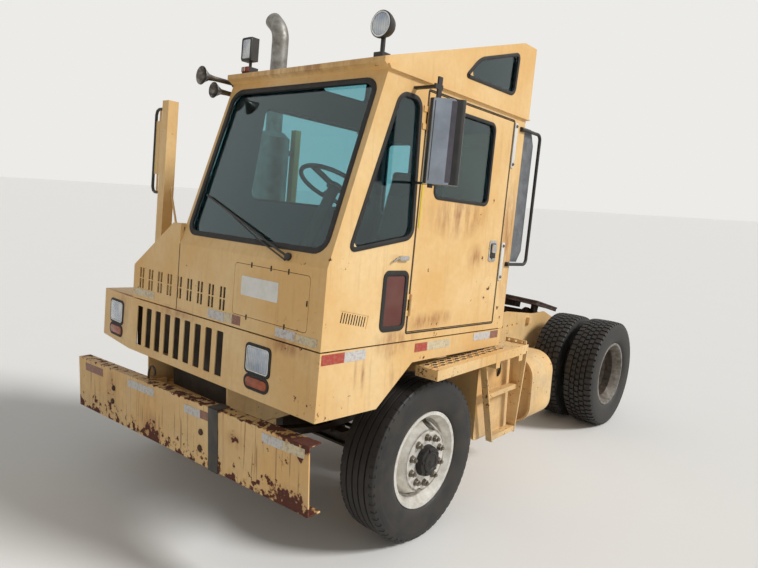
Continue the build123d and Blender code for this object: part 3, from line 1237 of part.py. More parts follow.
# Rear left corner: a grey pressed channel and the black grab tube round it
CHANNEL_FACE = LEFT_Y - 12
CHANNEL_DEEP = (110, 160)
CHANNEL_Z = (1715, EAVE_Z - 45)
CHANNEL_SHEET = 5
with BuildPart() as corner_channel:
    with BuildSketch(side(CHANNEL_FACE)):
        Polygon((CAB_REAR, CHANNEL_Z[0]), (CAB_REAR - CHANNEL_DEEP[0], CHANNEL_Z[0]),
                (CAB_REAR - CHANNEL_DEEP[1], CHANNEL_Z[0] + 75), (CAB_REAR - CHANNEL_DEEP[1], CHANNEL_Z[1] - 100),
                (CAB_REAR - CHANNEL_DEEP[0], CHANNEL_Z[1]), (CAB_REAR, CHANNEL_Z[1]), align=None)
    extrude(amount=CHANNEL_SHEET)
    for x in (CAB_REAR - CHANNEL_DEEP[1], CAB_REAR - 70):
        add(box((x, x + CHANNEL_SHEET), (CHANNEL_FACE - 58, CHANNEL_FACE),
                (CHANNEL_Z[0] + 85, CHANNEL_Z[1] - 110)))
    add(box((CAB_REAR - 60, CAB_REAR), (CHANNEL_FACE - 58, CHANNEL_FACE - CHANNEL_SHEET),
            (CHANNEL_Z[0] + 45, CHANNEL_Z[0] + 65)))
keep("corner_channel", corner_channel.part, LEANING)

GRAB_Y = LEFT_Y + 12
GRAB_Z = (1700, EAVE_Z - 67)
GRAB_RADIUS = 11
grab_front = CAB_REAR + 60
grab_rear = CAB_REAR - 200
with BuildPart() as grab_rail:
    with BuildLine(side(GRAB_Y)) as grab_path:
        FilletPolyline((grab_front, GRAB_Z[1]), (grab_rear, GRAB_Z[1]), (grab_rear, GRAB_Z[0]),
                       (grab_front, GRAB_Z[0]), radius=38)
    with BuildSketch(Plane(origin=(grab_front, GRAB_Y, GRAB_Z[1]), x_dir=(0, 1, 0), z_dir=(-1, 0, 0))):
        Circle(GRAB_RADIUS)
    sweep(path=grab_path.line)
    for z in GRAB_Z:
        add(box((grab_front - 30, grab_front + 2), (LEFT_Y, GRAB_Y), (z - 14, z + 14)))
keep("grab_rail", grab_rail.part, LEANING)

# Lifting boom: two box arms on the pivot shaft, cross beams, cheeks and pins for the top plate
FIFTH_LUG = (305, 334)
CHEEK_OUT = 297
PIN_OUT = 336
arm_out = ARM_IN + ARM_WIDTH
arm_rear = FIFTH_PIVOT[0] - 60
arm_z = (BOOM_PIVOT[1] + ARM_LOW, BOOM_PIVOT[1] + ARM_HIGH)
with BuildPart() as boom:
    for y in (ARM_IN, -ARM_IN - ARM_WIDTH):
        add(box((arm_rear, BOOM_PIVOT[0]), (y, y + ARM_WIDTH), arm_z))
        add(along_y(BOOM_PIVOT, SHAFT_RADIUS + 24, y, y + ARM_WIDTH))
    for x in (arm_rear, BOOM_PIVOT[0] - 450):
        add(box((x, x + 90), (-ARM_IN, ARM_IN), (arm_z[0] + 10, arm_z[1] - 10)))
    for sign in (-1, 1):
        add(slab(shape((-2800, 890), (-2800, 1000), (-2860, 1012), (-3230, 900), (-3200, 870), (-3000, 870)),
                 side(max(sign * CHEEK_OUT, sign * arm_out)), CHEEK_OUT - arm_out))
        add(along_y(FIFTH_PIVOT, PIN_RADIUS + 5, min(sign * arm_out, sign * PIN_OUT),
                    max(sign * arm_out, sign * PIN_OUT)))
        for ear in (sign * LIFT_Y - 42, sign * LIFT_Y + 26):
            add(slab(shape((LIFT_EYE[0] - 34, LIFT_EYE[1] - 30), (LIFT_EYE[0] + 34, LIFT_EYE[1] - 30),
                           (LIFT_EYE[0] + 50, BOOM_PIVOT[1] + ARM_LOW),
                           (LIFT_EYE[0] - 50, BOOM_PIVOT[1] + ARM_LOW)),
                     side(ear + 16), 16))
        add(along_y(LIFT_EYE, PIN_RADIUS, sign * LIFT_Y - 42, sign * LIFT_Y + 42))
    with BuildSketch(side(RAIL_OUT)):
        with Locations(BOOM_PIVOT):
            Circle(SHAFT_RADIUS + FIT_GAP)
    extrude(amount=2 * RAIL_OUT, mode=Mode.SUBTRACT)
keep("boom", boom.part)

# Fifth wheel plate, drawn level about its pivot and tipped back as it parks
plate_outline = [
    (430, -230), (430, 230), (250, FIFTH_HALF), (-230, FIFTH_HALF), (-470, 330), (-470, 220), (-90, 34),
    (-90, -34), (-470, -220), (-470, -330), (-230, -FIFTH_HALF), (250, -FIFTH_HALF),
]
with BuildPart() as fifth_wheel:
    add(slab(shape(*plate_outline), level(FIFTH_TOP - FIFTH_PLATE), FIFTH_PLATE))
    with BuildSketch(level(FIFTH_TOP - 44)):
        Polygon((425, -225), (425, 225), (246, FIFTH_HALF - 6), (-228, FIFTH_HALF - 6), (-228, -FIFTH_HALF + 6),
                (246, -FIFTH_HALF + 6), align=None)
        Polygon((409, -218), (409, 218), (240, FIFTH_HALF - 24), (-228, FIFTH_HALF - 24), (-228, -FIFTH_HALF + 24),
                (240, -FIFTH_HALF + 24), align=None, mode=Mode.SUBTRACT)
    extrude(amount=44 - FIFTH_PLATE)
    add(box((-88, 120), (-110, 110), (FIFTH_TOP - 74, FIFTH_TOP - FIFTH_PLATE)))
    for y_low, y_high in (FIFTH_LUG, (-FIFTH_LUG[1], -FIFTH_LUG[0])):
        add(slab(shape((-60, FIFTH_TOP - FIFTH_PLATE), (60, FIFTH_TOP - FIFTH_PLATE), (42, -30), (-42, -30)),
                 side(y_high), y_high - y_low))
        with BuildSketch(side(y_high)):
            Circle(PIN_RADIUS + 5 + FIT_GAP)
        extrude(amount=y_high - y_low, mode=Mode.SUBTRACT)
    with BuildSketch(level(FIFTH_TOP)):
        Circle(KINGPIN_BORE)
    extrude(amount=-74, mode=Mode.SUBTRACT)
keep("fifth_wheel", fifth_wheel.part, TOP_PLATE)

# Lift cylinders, drawn upright over their feet and leaned onto their line
lift_run = (LIFT_EYE[0] - LIFT_FOOT[0], LIFT_EYE[1] - LIFT_FOOT[1])
lift_length = hypot(*lift_run)
LIFT = Location((LIFT_FOOT[0], 0, LIFT_FOOT[1]), (0, degrees(atan2(lift_run[0], lift_run[1])), 0))
BARREL_TOP = lift_length - 70
with BuildPart() as barrels:
    for y in (-LIFT_Y, LIFT_Y):
        add(along_z((0, y), BARREL_RADIUS, 42, BARREL_TOP))
        add(along_z((0, y), 21, 0, 42))
        add(along_y((0, 0), 34, y - 22, y + 22))
        with BuildSketch(side(y + 22)):
            Circle(PIN_RADIUS + FIT_GAP)
        extrude(amount=44, mode=Mode.SUBTRACT)
        with BuildSketch(level(BARREL_TOP)):
            with Locations((0, y)):
                Circle(ROD_RADIUS + FIT_GAP)
        extrude(amount=-(BARREL_TOP - 60), mode=Mode.SUBTRACT)
keep("lift_barrels", barrels.part, LIFT)

with BuildPart() as rods:
    for y in (-LIFT_Y, LIFT_Y):
        add(along_z((0, y), ROD_RADIUS, 64, lift_length - 30))
        add(along_y((0, lift_length), EYE_RADIUS, y - 20, y + 20))
        with BuildSketch(side(y + 20)):
            with Locations((0, lift_length)):
                Circle(PIN_RADIUS + EYE_CLEARANCE)
        extrude(amount=40, mode=Mode.SUBTRACT)
keep("lift_rods", rods.part, LIFT)

# Put the origin on the ground below the middle of the whole vehicle, and write each piece
bounds = [piece.bounding_box() for piece in pieces]
low = [min(getattr(bound.min, axis) for bound in bounds) for axis in "XYZ"]
high = [max(getattr(bound.max, axis) for bound in bounds) for axis in "XYZ"]
shift = [-(low[0] + high[0]) / 2, -(low[1] + high[1]) / 2]
print("shift", [round(value, 3) for value in shift], "low", [round(value, 1) for value in low],
      "high", [round(value, 1) for value in high])
middle = Location((shift[0], shift[1], 0))
for piece in pieces:
    placed = piece.moved(middle)
    placed.label = piece.label
    export_step(placed, f"parts/{piece.label}.step")
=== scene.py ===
"""Looks, fine parts and stage for the terminal tractor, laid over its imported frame."""

import math

import bmesh
import bpy
from bpy.props import FloatProperty, FloatVectorProperty, IntProperty, PointerProperty
from mathutils import Matrix, Vector


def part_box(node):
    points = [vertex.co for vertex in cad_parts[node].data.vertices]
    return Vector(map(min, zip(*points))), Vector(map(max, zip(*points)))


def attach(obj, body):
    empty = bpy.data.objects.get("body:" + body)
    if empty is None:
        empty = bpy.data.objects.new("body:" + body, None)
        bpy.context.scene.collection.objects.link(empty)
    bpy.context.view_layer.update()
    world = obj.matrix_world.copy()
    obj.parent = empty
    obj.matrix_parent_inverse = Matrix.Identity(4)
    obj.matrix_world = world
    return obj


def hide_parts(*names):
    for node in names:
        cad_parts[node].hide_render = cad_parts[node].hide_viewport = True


bl_info = {
    "name": "Terminal Tractor Dressing",
    "version": (1, 0, 0),
    "blender": (4, 5, 0),
    "location": "3D View > Sidebar > Tractor",
    "description": "Adds paint, glass, rubber, tyres, lamps and cab trim to the tractor's frame",
    "category": "Object",
}

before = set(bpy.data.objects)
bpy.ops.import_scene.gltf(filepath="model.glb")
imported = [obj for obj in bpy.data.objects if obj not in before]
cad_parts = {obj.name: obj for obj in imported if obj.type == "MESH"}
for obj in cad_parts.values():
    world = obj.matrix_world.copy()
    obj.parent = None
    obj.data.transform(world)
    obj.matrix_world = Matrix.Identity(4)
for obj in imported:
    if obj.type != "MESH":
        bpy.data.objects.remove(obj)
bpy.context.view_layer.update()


def linear(code):
    """A written sRGB hex colour as linear red, green and blue."""
    shares = [int(code[place:place + 2], 16) / 255 for place in (1, 3, 5)]
    return tuple(s / 12.92 if s <= 0.04045 else ((s + 0.055) / 1.055) ** 2.4 for s in shares)


# Working frames: millimetres about the point on the ground below the front axle
def axle_foot():
    """Where the middle of the front axle stands on the ground, read from the front tyres."""
    left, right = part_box("front_left_tyre"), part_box("front_right_tyre")
    return Vector(((left[0].x + left[1].x) / 2, (left[1].y + right[0].y) / 2, 0))


# The cab and the sheet metal below it lean back
LEAN = math.radians(3)
GROUND = Matrix.Translation(axle_foot()) @ Matrix.Scale(0.001, 4)
CAB = Matrix.Translation(axle_foot()) @ Matrix.Rotation(-LEAN, 4, "Y") @ Matrix.Scale(0.001, 4)


def face_on(base, origin, across, up, out):
    """A drawing plane: u runs across, v up and w out of it, all in the base frame."""
    columns = [Vector(axis).normalized().to_4d() for axis in (across, up, out)]
    for column in columns:
        column.w = 0
    return base @ Matrix((*columns, Vector(origin).to_4d())).transposed()


def facing_front(base, origin):
    """A plane that looks forward: u runs left, v up."""
    return face_on(base, origin, (0, 1, 0), (0, 0, 1), (1, 0, 0))


def facing_back(base, origin):
    """A plane that looks back: u runs left, v up."""
    return face_on(base, origin, (0, 1, 0), (0, 0, 1), (-1, 0, 0))


def facing_side(base, origin, side):
    """A plane that looks left for side 1 and right for -1: u runs forward, v up."""
    return face_on(base, origin, (1, 0, 0), (0, 0, 1), (0, side, 0))


# The cab's outer faces, the bend below the windscreen, the screen's slope, and the roof's overhang
FRONT_X, LEFT_Y, RIGHT_Y, REAR_X = 1020, 1200, -45, -680
BEND_Z, SCREEN_BACK, SCREEN_RISE = 1667, 310, 1004
ROOF_OUT = 8
# The lamp wing's inner edge, width and fall backwards, then the middle and tilt of the bumper's face
WING_FOOT, WING_RUN, WING_TURN = -581, 419, 35
BUMPER_X, BUMPER_Z, BUMPER_TILT = 1009, 652, math.radians(2.1)
SLOPE = math.atan2(SCREEN_BACK, SCREEN_RISE)
FRONT = facing_front(CAB, (FRONT_X, 0, 0))
SCREEN = face_on(CAB, (FRONT_X, 0, BEND_Z), (0, 1, 0), (-math.sin(SLOPE), 0, math.cos(SLOPE)),
                 (math.cos(SLOPE), 0, math.sin(SLOPE)))
LEFT = facing_side(CAB, (0, LEFT_Y, 0), 1)
RIGHT = facing_side(CAB, (0, RIGHT_Y, 0), -1)
REAR = facing_back(CAB, (REAR_X, 0, 0))
ROOF_LEFT = facing_side(CAB, (0, LEFT_Y + ROOF_OUT, 0), 1)
ROOF_RIGHT = facing_side(CAB, (0, RIGHT_Y - ROOF_OUT, 0), -1)
WING = face_on(CAB, (FRONT_X, WING_FOOT, 0), (WING_TURN, WING_RUN, 0), (0, 0, 1), (WING_RUN, -WING_TURN, 0))
BUMPER = GROUND @ Matrix.Translation((BUMPER_X, 0, BUMPER_Z)) @ Matrix.Rotation(BUMPER_TILT, 4, "X")
BUMPER = BUMPER @ Matrix(((0, 0, 1, 0), (1, 0, 0, 0), (0, 1, 0, 0), (0, 0, 0, 1)))
# Height of the hubs, place of the rear axle and radius of the tyres
HUB_Z, REAR_AXLE_X, TYRE_RADIUS = 500, -2946, 500


def colour(name, description, code):
    """A colour setting with its default."""
    return FloatVectorProperty(name=name, description=description, subtype="COLOR", min=0, max=1,
                               default=linear(code))


def size(name, description, value, low, high):
    """A number setting with its default and limits."""
    return FloatProperty(name=name, description=description, default=value, min=low, max=high)


class Colours(bpy.types.PropertyGroup):
    """Paint and trim colours."""

    enamel: colour("Enamel", "Sand-yellow enamel where it kept its colour", "#DFB26F")
    faded: colour("Faded enamel", "The same enamel where sun has chalked it", "#EAC992")
    rust: colour("Rust", "Rust in chips and below seams", "#5E2E1D")
    dust: colour("Dust", "Dry yard dust on paint and rubber", "#A3957F")
    # The lining colour is also painted shade: it darkens all of the cab's inside
    lining: colour("Lining", "Dark lining and bare inner sheet of the cab", "#515C60")
    # The glass tint is partly the glass's own and partly painted sky seen through it
    glass: colour("Glass tint", "Blue-green tint of the safety glass", "#A9D6DC")
    amber: colour("Amber", "Indicator lens", "#B5520F")


class Trim(bpy.types.PropertyGroup):
    """Sizes of the window rubbers, in millimetres."""

    gasket_in: size("Rubber inside", "How far the rubber reaches over the glass, mm", 15, 2, 40)
    gasket_high: size("Rubber height", "How far the rubber stands off the sheet, mm", 5, 2, 20)


class Tyres(bpy.types.PropertyGroup):
    """Tread of the tyres."""

    steps: IntProperty(
        name="Tread steps", description="Divisions of the tyre round its axle", default=168, min=48, max=400)
    groove: size("Groove depth", "Depth of the tread grooves, mm", 11, 2, 18)


class Stage(bpy.types.PropertyGroup):
    """Light and floor."""

    key: size("Key light", "Strength of the soft light from the left rear", 2.6, 0, 10)
    sky: size("Sky light", "Strength of the even light from all round", 0.44, 0, 2)
    floor: colour("Floor", "Floor and backdrop colour", "#ECEBE8")


# Shapes, drawn in millimetres in a plane's own u, v and w
def grown(corners, reach):
    """The corners of an outline moved outwards by reach along both of their sides."""
    shifted = []
    count = len(corners)
    turn = sum(corners[i - 1][0] * corners[i][1] - corners[i][0] * corners[i - 1][1] for i in range(count))
    side = 1 if turn > 0 else -1
    for i in range(count):
        here = Vector(corners[i])
        before = (here - Vector(corners[i - 1])).normalized()
        after = (Vector(corners[(i + 1) % count]) - here).normalized()
        normals = [Vector((line.y, -line.x)) * side for line in (before, after)]
        middle = (normals[0] + normals[1]).normalized()
        shifted.append(here + middle * reach / middle.dot(normals[0]))
    return shifted


def bevel(bm, geom, width, segments=2, affect="EDGES"):
    """Round edges or corners by width."""
    bmesh.ops.bevel(bm, geom=geom, offset=width, affect=affect, segments=segments, profile=0.5, material=-1)


def outline(bm, corners, radius, w):
    """A flat face through the corners, each corner rounded, alone in its mesh."""
    bm.faces.new([bm.verts.new((corner[0], corner[1], w)) for corner in corners])
    if radius:
        bevel(bm, list(bm.verts), radius, 6, "VERTICES")
    return list(bm.faces)


def lift(bm, faces, height):
    """Extrude faces by height along w and return the faces that moved."""
    made = bmesh.ops.extrude_face_region(bm, geom=faces)
    raised = [item for item in made["geom"] if isinstance(item, bmesh.types.BMVert)]
    bmesh.ops.translate(bm, vec=(0, 0, height), verts=raised)
    return [item for item in made["geom"] if isinstance(item, bmesh.types.BMFace)]


def soften(bm, faces, width):
    """Round the rim of raised faces."""
    rim = [edge for face in faces for edge in face.edges
           if sum(other in faces for other in edge.link_faces) == 1]
    bevel(bm, list(set(rim)), width)


def plate(corners, radius, low, high, edge=0.0):
    """A plate with rounded corners between two heights, its upper rim rounded by edge."""
    bm = bmesh.new()
    faces = outline(bm, corners, radius, low)
    top = lift(bm, faces, high - low)
    if edge:
        soften(bm, top, edge)
    return bm


def ring(corners, radius, out, inner, low, high, edge):
    """A frame round an opening, reaching out over the sheet and inwards over the pane."""
    bm = bmesh.new()
    faces = outline(bm, grown(corners, out), radius + out, low)
    bmesh.ops.inset_region(bm, faces=faces, thickness=out + inner, use_even_offset=True, use_boundary=True)
    bmesh.ops.delete(bm, geom=faces, context="FACES")
    top = lift(bm, list(bm.faces), high - low)
    soften(bm, top, edge)
    return bm


def rect(low, high):
    """The four corners between two (u, v) points."""
    return [low, (high[0], low[1]), high, (low[0], high[1])]


def block(low, high, edge):
    """A box between two corners with its edges rounded."""
    bm = bmesh.new()
    bmesh.ops.create_cube(bm, size=1)
    size = Vector(high) - Vector(low)
    bmesh.ops.scale(bm, vec=size, verts=bm.verts)
    bmesh.ops.translate(bm, vec=(Vector(high) + Vector(low)) / 2, verts=bm.verts)
    bevel(bm, list(bm.edges), edge)
    return bm


def spun(section, axis, steps, closed):
    """A line through points turned once round an axis, joined end to end if it is closed."""
    bm = bmesh.new()
    points = [bm.verts.new(point) for point in section]
    edges = [bm.edges.new(pair) for pair in zip(points, points[1:] + points[:1] * closed)]
    bmesh.ops.spin(bm, geom=points + edges, axis=axis, cent=(0, 0, 0), angle=math.tau, steps=steps,
                   use_merge=True)
    bmesh.ops.remove_doubles(bm, verts=bm.verts, dist=0.01)
    return bm


def lathe(section, steps):
    """A section of (radius, height) points turned once round w."""
    bm = spun([(radius, 0, height) for radius, height in section], (0, 0, 1), steps, False)
    holes = [edge for edge in bm.edges if edge.is_boundary]
    if holes:
        bmesh.ops.holes_fill(bm, edges=holes, sides=0)
    return bm


def rod(start, end, radius, steps):
    """A round bar between two points."""
    run = end - start
    bm = bmesh.new()
    turn = run.to_track_quat("Z", "Y").to_matrix().to_4x4()
    bmesh.ops.create_cone(bm, cap_ends=True, segments=steps, radius1=radius, radius2=radius,
                          depth=run.length, matrix=Matrix.Translation((start + end) / 2) @ turn)
    return bm


def tube(points, radius, steps=10, smooth=True):
    """A round tube along a smooth line through the points."""
    data = bpy.data.curves.new("tube_line", "CURVE")
    data.dimensions = "3D"
    line = data.splines.new("BEZIER" if smooth else "POLY")
    if smooth:
        line.bezier_points.add(len(points) - 1)
        for knot, point in zip(line.bezier_points, points):
            knot.co = point
            knot.handle_left_type = knot.handle_right_type = "AUTO"
    else:
        line.points.add(len(points) - 1)
        for knot, point in zip(line.points, points):
            knot.co = (*point, 1)
    data.bevel_depth = radius
    data.bevel_resolution = max(1, steps // 4)
    data.use_fill_caps = True
    carrier = bpy.data.objects.new("tube_line", data)
    bpy.context.scene.collection.objects.link(carrier)
    mesh = bpy.data.meshes.new_from_object(carrier)
    bm = bmesh.new()
    bm.from_mesh(mesh)
    bpy.data.objects.remove(carrier)
    bpy.data.curves.remove(data)
    bpy.data.meshes.remove(mesh)
    return bm


def moved(bm, vec):
    """Move a shape."""
    bmesh.ops.translate(bm, vec=vec, verts=bm.verts)
    return bm


def all_round(shape, count, radius, height=0, start=0):
    """Copies of a shape on a circle round w, made one by one by calling shape."""
    turns = [math.tau * step / count + math.radians(start) for step in range(count)]
    return [moved(shape(), (radius * math.cos(turn), radius * math.sin(turn), height)) for turn in turns]


def as_mesh(bm, name, finishes):
    """Turn a shape into a named mesh with its materials."""
    mesh = bpy.data.meshes.new(name)
    bm.to_mesh(mesh)
    bm.free()
    for finish in finishes:
        mesh.materials.append(bpy.data.materials[finish])
    return mesh


def place_piece(name, mesh, body):
    """Put a finished mesh into the scene, riding on a body."""
    piece = bpy.data.objects.new(name, mesh)
    bpy.context.scene.collection.objects.link(piece)
    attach(piece, body)
    return piece


def assemble(name, body, parts, smooth=34.0):
    """Join (shape, plane, material) parts into one piece that rides on a body."""
    joined = bmesh.new()
    finishes = []
    for shape, plane, finish in parts:
        bmesh.ops.transform(shape, matrix=plane, verts=shape.verts)
        bmesh.ops.remove_doubles(shape, verts=shape.verts, dist=1e-6)
        bmesh.ops.recalc_face_normals(shape, faces=shape.faces)
        if finish not in finishes:
            finishes.append(finish)
        for face in shape.faces:
            face.material_index = finishes.index(finish)
        held = as_mesh(shape, "held", ())
        joined.from_mesh(held)
        bpy.data.meshes.remove(held)
    mesh = as_mesh(joined, name, finishes)
    mesh.shade_smooth()
    mesh.set_sharp_from_angle(angle=math.radians(smooth))
    return place_piece(name, mesh, body)


# Materials
def put(tree, kind, values=None, links=None, **settings):
    """Add a shader node with its settings, socket values and links."""
    made = tree.nodes.new("ShaderNode" + kind)
    for key, value in settings.items():
        setattr(made, key, value)
    for key, value in (values or {}).items():
        made.inputs[key].default_value = value
    for key, source in (links or {}).items():
        tree.links.new(source, made.inputs[key])
    return made


def new_finish(name):
    """An empty material with its surface shader and object coordinates."""
    material = bpy.data.materials.new(name)
    material.use_nodes = True
    tree = material.node_tree
    tree.nodes.clear()
    shader = put(tree, "BsdfPrincipled")
    put(tree, "OutputMaterial", links={"Surface": shader.outputs[0]})
    place = put(tree, "TexCoord").outputs["Object"]
    return tree, shader, place


def noise(tree, place, size, detail=4.0, rough=0.55, stretch=(1, 1, 1)):
    """A noise value whose features are about size metres across."""
    spread = put(tree, "Mapping", {"Scale": stretch}, {"Vector": place})
    return put(tree, "TexNoise", {"Scale": 1 / size, "Detail": detail, "Roughness": rough},
               {"Vector": spread.outputs[0]}).outputs["Fac"]


def ramp(tree, source, low, high, out_low=0.0, out_high=1.0):
    """Map a value's range, clamped."""
    return put(tree, "MapRange", {"From Min": low, "From Max": high, "To Min": out_low, "To Max": out_high},
               {"Value": source}).outputs[0]


def times(tree, one, other, operation="MULTIPLY", shares=True):
    """Combine two values; sums of shares stay within 0 and 1."""
    made = put(tree, "Math", operation=operation)
    for socket, value in zip(made.inputs, (one, other)):
        if isinstance(value, (int, float)):
            socket.default_value = value
        else:
            tree.links.new(value, socket)
    made.use_clamp = shares and operation in ("ADD", "SUBTRACT")
    return made.outputs[0]


def blend(tree, share, below, above):
    """Lay one colour over another by a share."""
    made = put(tree, "Mix", data_type="RGBA")
    for index, value in ((0, share), (6, below), (7, above)):
        if isinstance(value, (int, float)):
            made.inputs[index].default_value = value
        elif isinstance(value, bpy.types.NodeSocket):
            tree.links.new(value, made.inputs[index])
        else:
            made.inputs[index].default_value = (*value[:3], 1)
    return made.outputs[2]


def bump(tree, shader, height, distance):
    """Raise the surface by a height value over a distance in metres."""
    made = put(tree, "Bump", {"Strength": 1.0, "Distance": distance}, {"Height": height})
    tree.links.new(made.outputs[0], shader.inputs["Normal"])


def surface(tree, shader, tone, rough, metallic=0.0):
    """Give the shader its colour, roughness and metal share, each a link or a plain value."""
    for socket, value in (("Base Color", tone), ("Roughness", rough), ("Metallic", metallic)):
        if isinstance(value, bpy.types.NodeSocket):
            tree.links.new(value, shader.inputs[socket])
        else:
            shader.inputs[socket].default_value = value


def spot(tree, place, centre, reach):
    """1 at a point, falling to 0 at its reach, both in metres."""
    scale = [1 / r for r in reach]
    shifted = put(tree, "Mapping", {"Location": [-c * s for c, s in zip(centre, scale)], "Scale": scale},
                  {"Vector": place})
    ball = put(tree, "TexGradient", links={"Vector": shifted.outputs[0]}, gradient_type="SPHERICAL")
    return ball.outputs["Fac"]


def local_place(tree, place, turn, axis, origin=(0, 0, 0)):
    """X, Y and Z in metres about a turned point of the vehicle."""
    at = axle_foot() + Vector(origin)
    spin = Matrix.Rotation(turn, 3, axis)
    angles = [turn if letter == axis else 0 for letter in "XYZ"]
    local = put(tree, "Mapping", {"Location": -(spin @ at), "Rotation": angles}, {"Vector": place})
    return put(tree, "SeparateXYZ", links={0: local.outputs[0]}).outputs


# The dark lining, which is also painted shade over the cab's inside, starts just inside the sheet: limits in
# metres, and how far screen and roof fall per metre
INSIDE_REAR, INSIDE_RIGHT, INSIDE_FLOOR, INSIDE_LEFT = -0.677, -0.042, 1.268, 1.195
INSIDE_SCREEN, INSIDE_SLOPE, INSIDE_TOP = 1.014, 2.918, 3.088
INSIDE_FADE, SCREEN_FALL, ROOF_FALL = 0.002, 0.3088, 0.3079


def inside_cab(tree, place):
    """1 on all that lies deeper than a sheet's thickness below the cab's outer faces."""
    x, y, z = local_place(tree, place, LEAN, "Y")
    above_bend = times(tree, times(tree, z, BEND_Z / 1000, "SUBTRACT", False), 0, "MAXIMUM")
    screen = times(tree, x, times(tree, above_bend, SCREEN_FALL), "ADD", False)
    roof = times(tree, z, times(tree, x, ROOF_FALL), "ADD", False)
    inside = ramp(tree, y, INSIDE_LEFT, INSIDE_LEFT + INSIDE_FADE, 1, 0)
    for value, low in ((y, INSIDE_RIGHT), (x, INSIDE_REAR), (z, INSIDE_FLOOR)):
        inside = times(tree, inside, ramp(tree, value, low, low + INSIDE_FADE))
    for value, high in ((screen, INSIDE_SCREEN), (roof, INSIDE_SLOPE), (z, INSIDE_TOP)):
        inside = times(tree, inside, ramp(tree, value, high, high + INSIDE_FADE, 1, 0))
    return inside


def bumper_edges(tree, place):
    """1 along the bumper's lower edge and its top fold, where yard bumps took the enamel off."""
    v = local_place(tree, place, -BUMPER_TILT, "X", (0, 0, BUMPER_Z / 1000))[2]
    return times(tree, ramp(tree, v, -0.03, -0.17), ramp(tree, v, 0.160, 0.180, 0, 0.85), "MAXIMUM")


def weathered_enamel(name, chips, streaks, dirt, stains=(), chip_size=0.05, gloss=0.42, bite=0.07,
                     knocked=None, lined_and_shaded=False):
    """Brushed-on yard enamel: chalked patches, thin vertical runs, dust low down and chips to rusty steel.

    Stains are (centre, reach) spots of rust water, and bite is how much they and knocks add to the chips.
    """
    colours = bpy.context.scene.tractor_colours
    tree, shader, place = new_finish(name)
    fade = ramp(tree, noise(tree, place, 0.55, 5), 0.38, 0.66)
    base = blend(tree, fade, colours.enamel, colours.faded)
    mottled = ramp(tree, noise(tree, place, 0.035, 6, 0.6), 0.35, 0.75, 0.0, 0.16)
    base = blend(tree, mottled, base, linear("#B98747"))
    runs = ramp(tree, noise(tree, place, 0.10, 5, 0.6, (3.2, 3.2, 0.22)), 0.56, 0.80, 0.0, streaks)
    base = blend(tree, runs, base, linear("#9A6430"))
    height = put(tree, "SeparateXYZ", links={0: place}).outputs["Z"]
    low = ramp(tree, height, 1.45, 0.35, 0.0, 1.0)
    dusty = times(tree, times(tree, low, ramp(tree, noise(tree, place, 0.16, 6, 0.65), 0.35, 0.72)), dirt)
    base = blend(tree, dusty, base, colours.dust)
    stained = None
    for centre, reach in stains:
        mark = spot(tree, place, centre, reach)
        stained = mark if stained is None else times(tree, stained, mark, "MAXIMUM")
    # Paint is gone where the chip value passes this edge
    edge = 0.70 - chips
    chip_noise = noise(tree, place, chip_size, 8, 0.62)
    patches = ramp(tree, noise(tree, place, 0.42, 3), 0.40, 0.72, -0.08, 0.08)
    chip_value = times(tree, chip_noise, patches, "ADD")
    if stained is not None:
        run_noise = ramp(tree, noise(tree, place, 0.05, 6, 0.65, (1, 1, 0.25)), 0.36, 0.62)
        base = blend(tree, times(tree, times(tree, stained, run_noise), 0.85), base, linear("#8A4A1E"))
        chip_value = times(tree, chip_value, times(tree, stained, bite), "ADD")
    if knocked is not None:
        chip_value = times(tree, chip_value, times(tree, knocked(tree, place), bite), "ADD")
        drips = ramp(tree, noise(tree, place, 0.018, 3, 0.5, (1, 1, 0.045)), 0.60, 0.66, 0.0, 0.55)
        base = blend(tree, drips, base, linear("#7A4A2A"))
    halo = ramp(tree, chip_value, edge - 0.035, edge, 0.0, 0.45)
    base = blend(tree, halo, base, linear("#9C6A3A"))
    bare = ramp(tree, chip_value, edge, edge + 0.012)
    rusty = blend(tree, ramp(tree, noise(tree, place, 0.012, 4), 0.35, 0.65), colours.rust, linear("#47241A"))
    coat = blend(tree, bare, base, rusty)
    # The cab's inner faces take the lining colour, which also paints shade over the cab's inside
    if lined_and_shaded:
        coat = blend(tree, inside_cab(tree, place), coat, colours.lining)
    rough = times(tree, ramp(tree, noise(tree, place, 0.02, 5), 0.3, 0.7, gloss, gloss + 0.16),
                  times(tree, bare, 0.35), "ADD")
    surface(tree, shader, coat, rough)
    orange_peel = times(tree, noise(tree, place, 0.004, 2), 0.12)
    bump(tree, shader, times(tree, orange_peel, times(tree, bare, 0.8), "SUBTRACT"), 0.0006)


def bare_metal(name, light, dark, size, rough, metallic, grime, relief):
    """Metal without paint: two tones in patches, dull where grime lies."""
    tree, shader, place = new_finish(name)
    patches = ramp(tree, noise(tree, place, size, 6, 0.62), 0.36, 0.66)
    tone = blend(tree, patches, linear(light), linear(dark))
    dull = ramp(tree, noise(tree, place, size * 3, 4), 0.4, 0.7, 0.0, grime)
    tone = blend(tree, dull, tone, linear("#5A5148"))
    surface(tree, shader, tone, ramp(tree, patches, 0, 1, *rough), metallic)
    bump(tree, shader, noise(tree, place, size * 0.35, 5), relief)


def moulded(name, code, dusty, rough, grain=0.0012, relief=0.0002):
    """Moulded rubber or plastic: one colour, fine grain, dust in soft patches."""
    colours = bpy.context.scene.tractor_colours
    tree, shader, place = new_finish(name)
    patches = ramp(tree, noise(tree, place, 0.12, 6, 0.6), 0.38, 0.75, 0.0, dusty)
    surface(tree, shader, blend(tree, patches, linear(code), colours.dust),
            ramp(tree, noise(tree, place, 0.03, 4), 0.3, 0.7, rough, rough + 0.18))
    bump(tree, shader, noise(tree, place, grain, 3), relief)


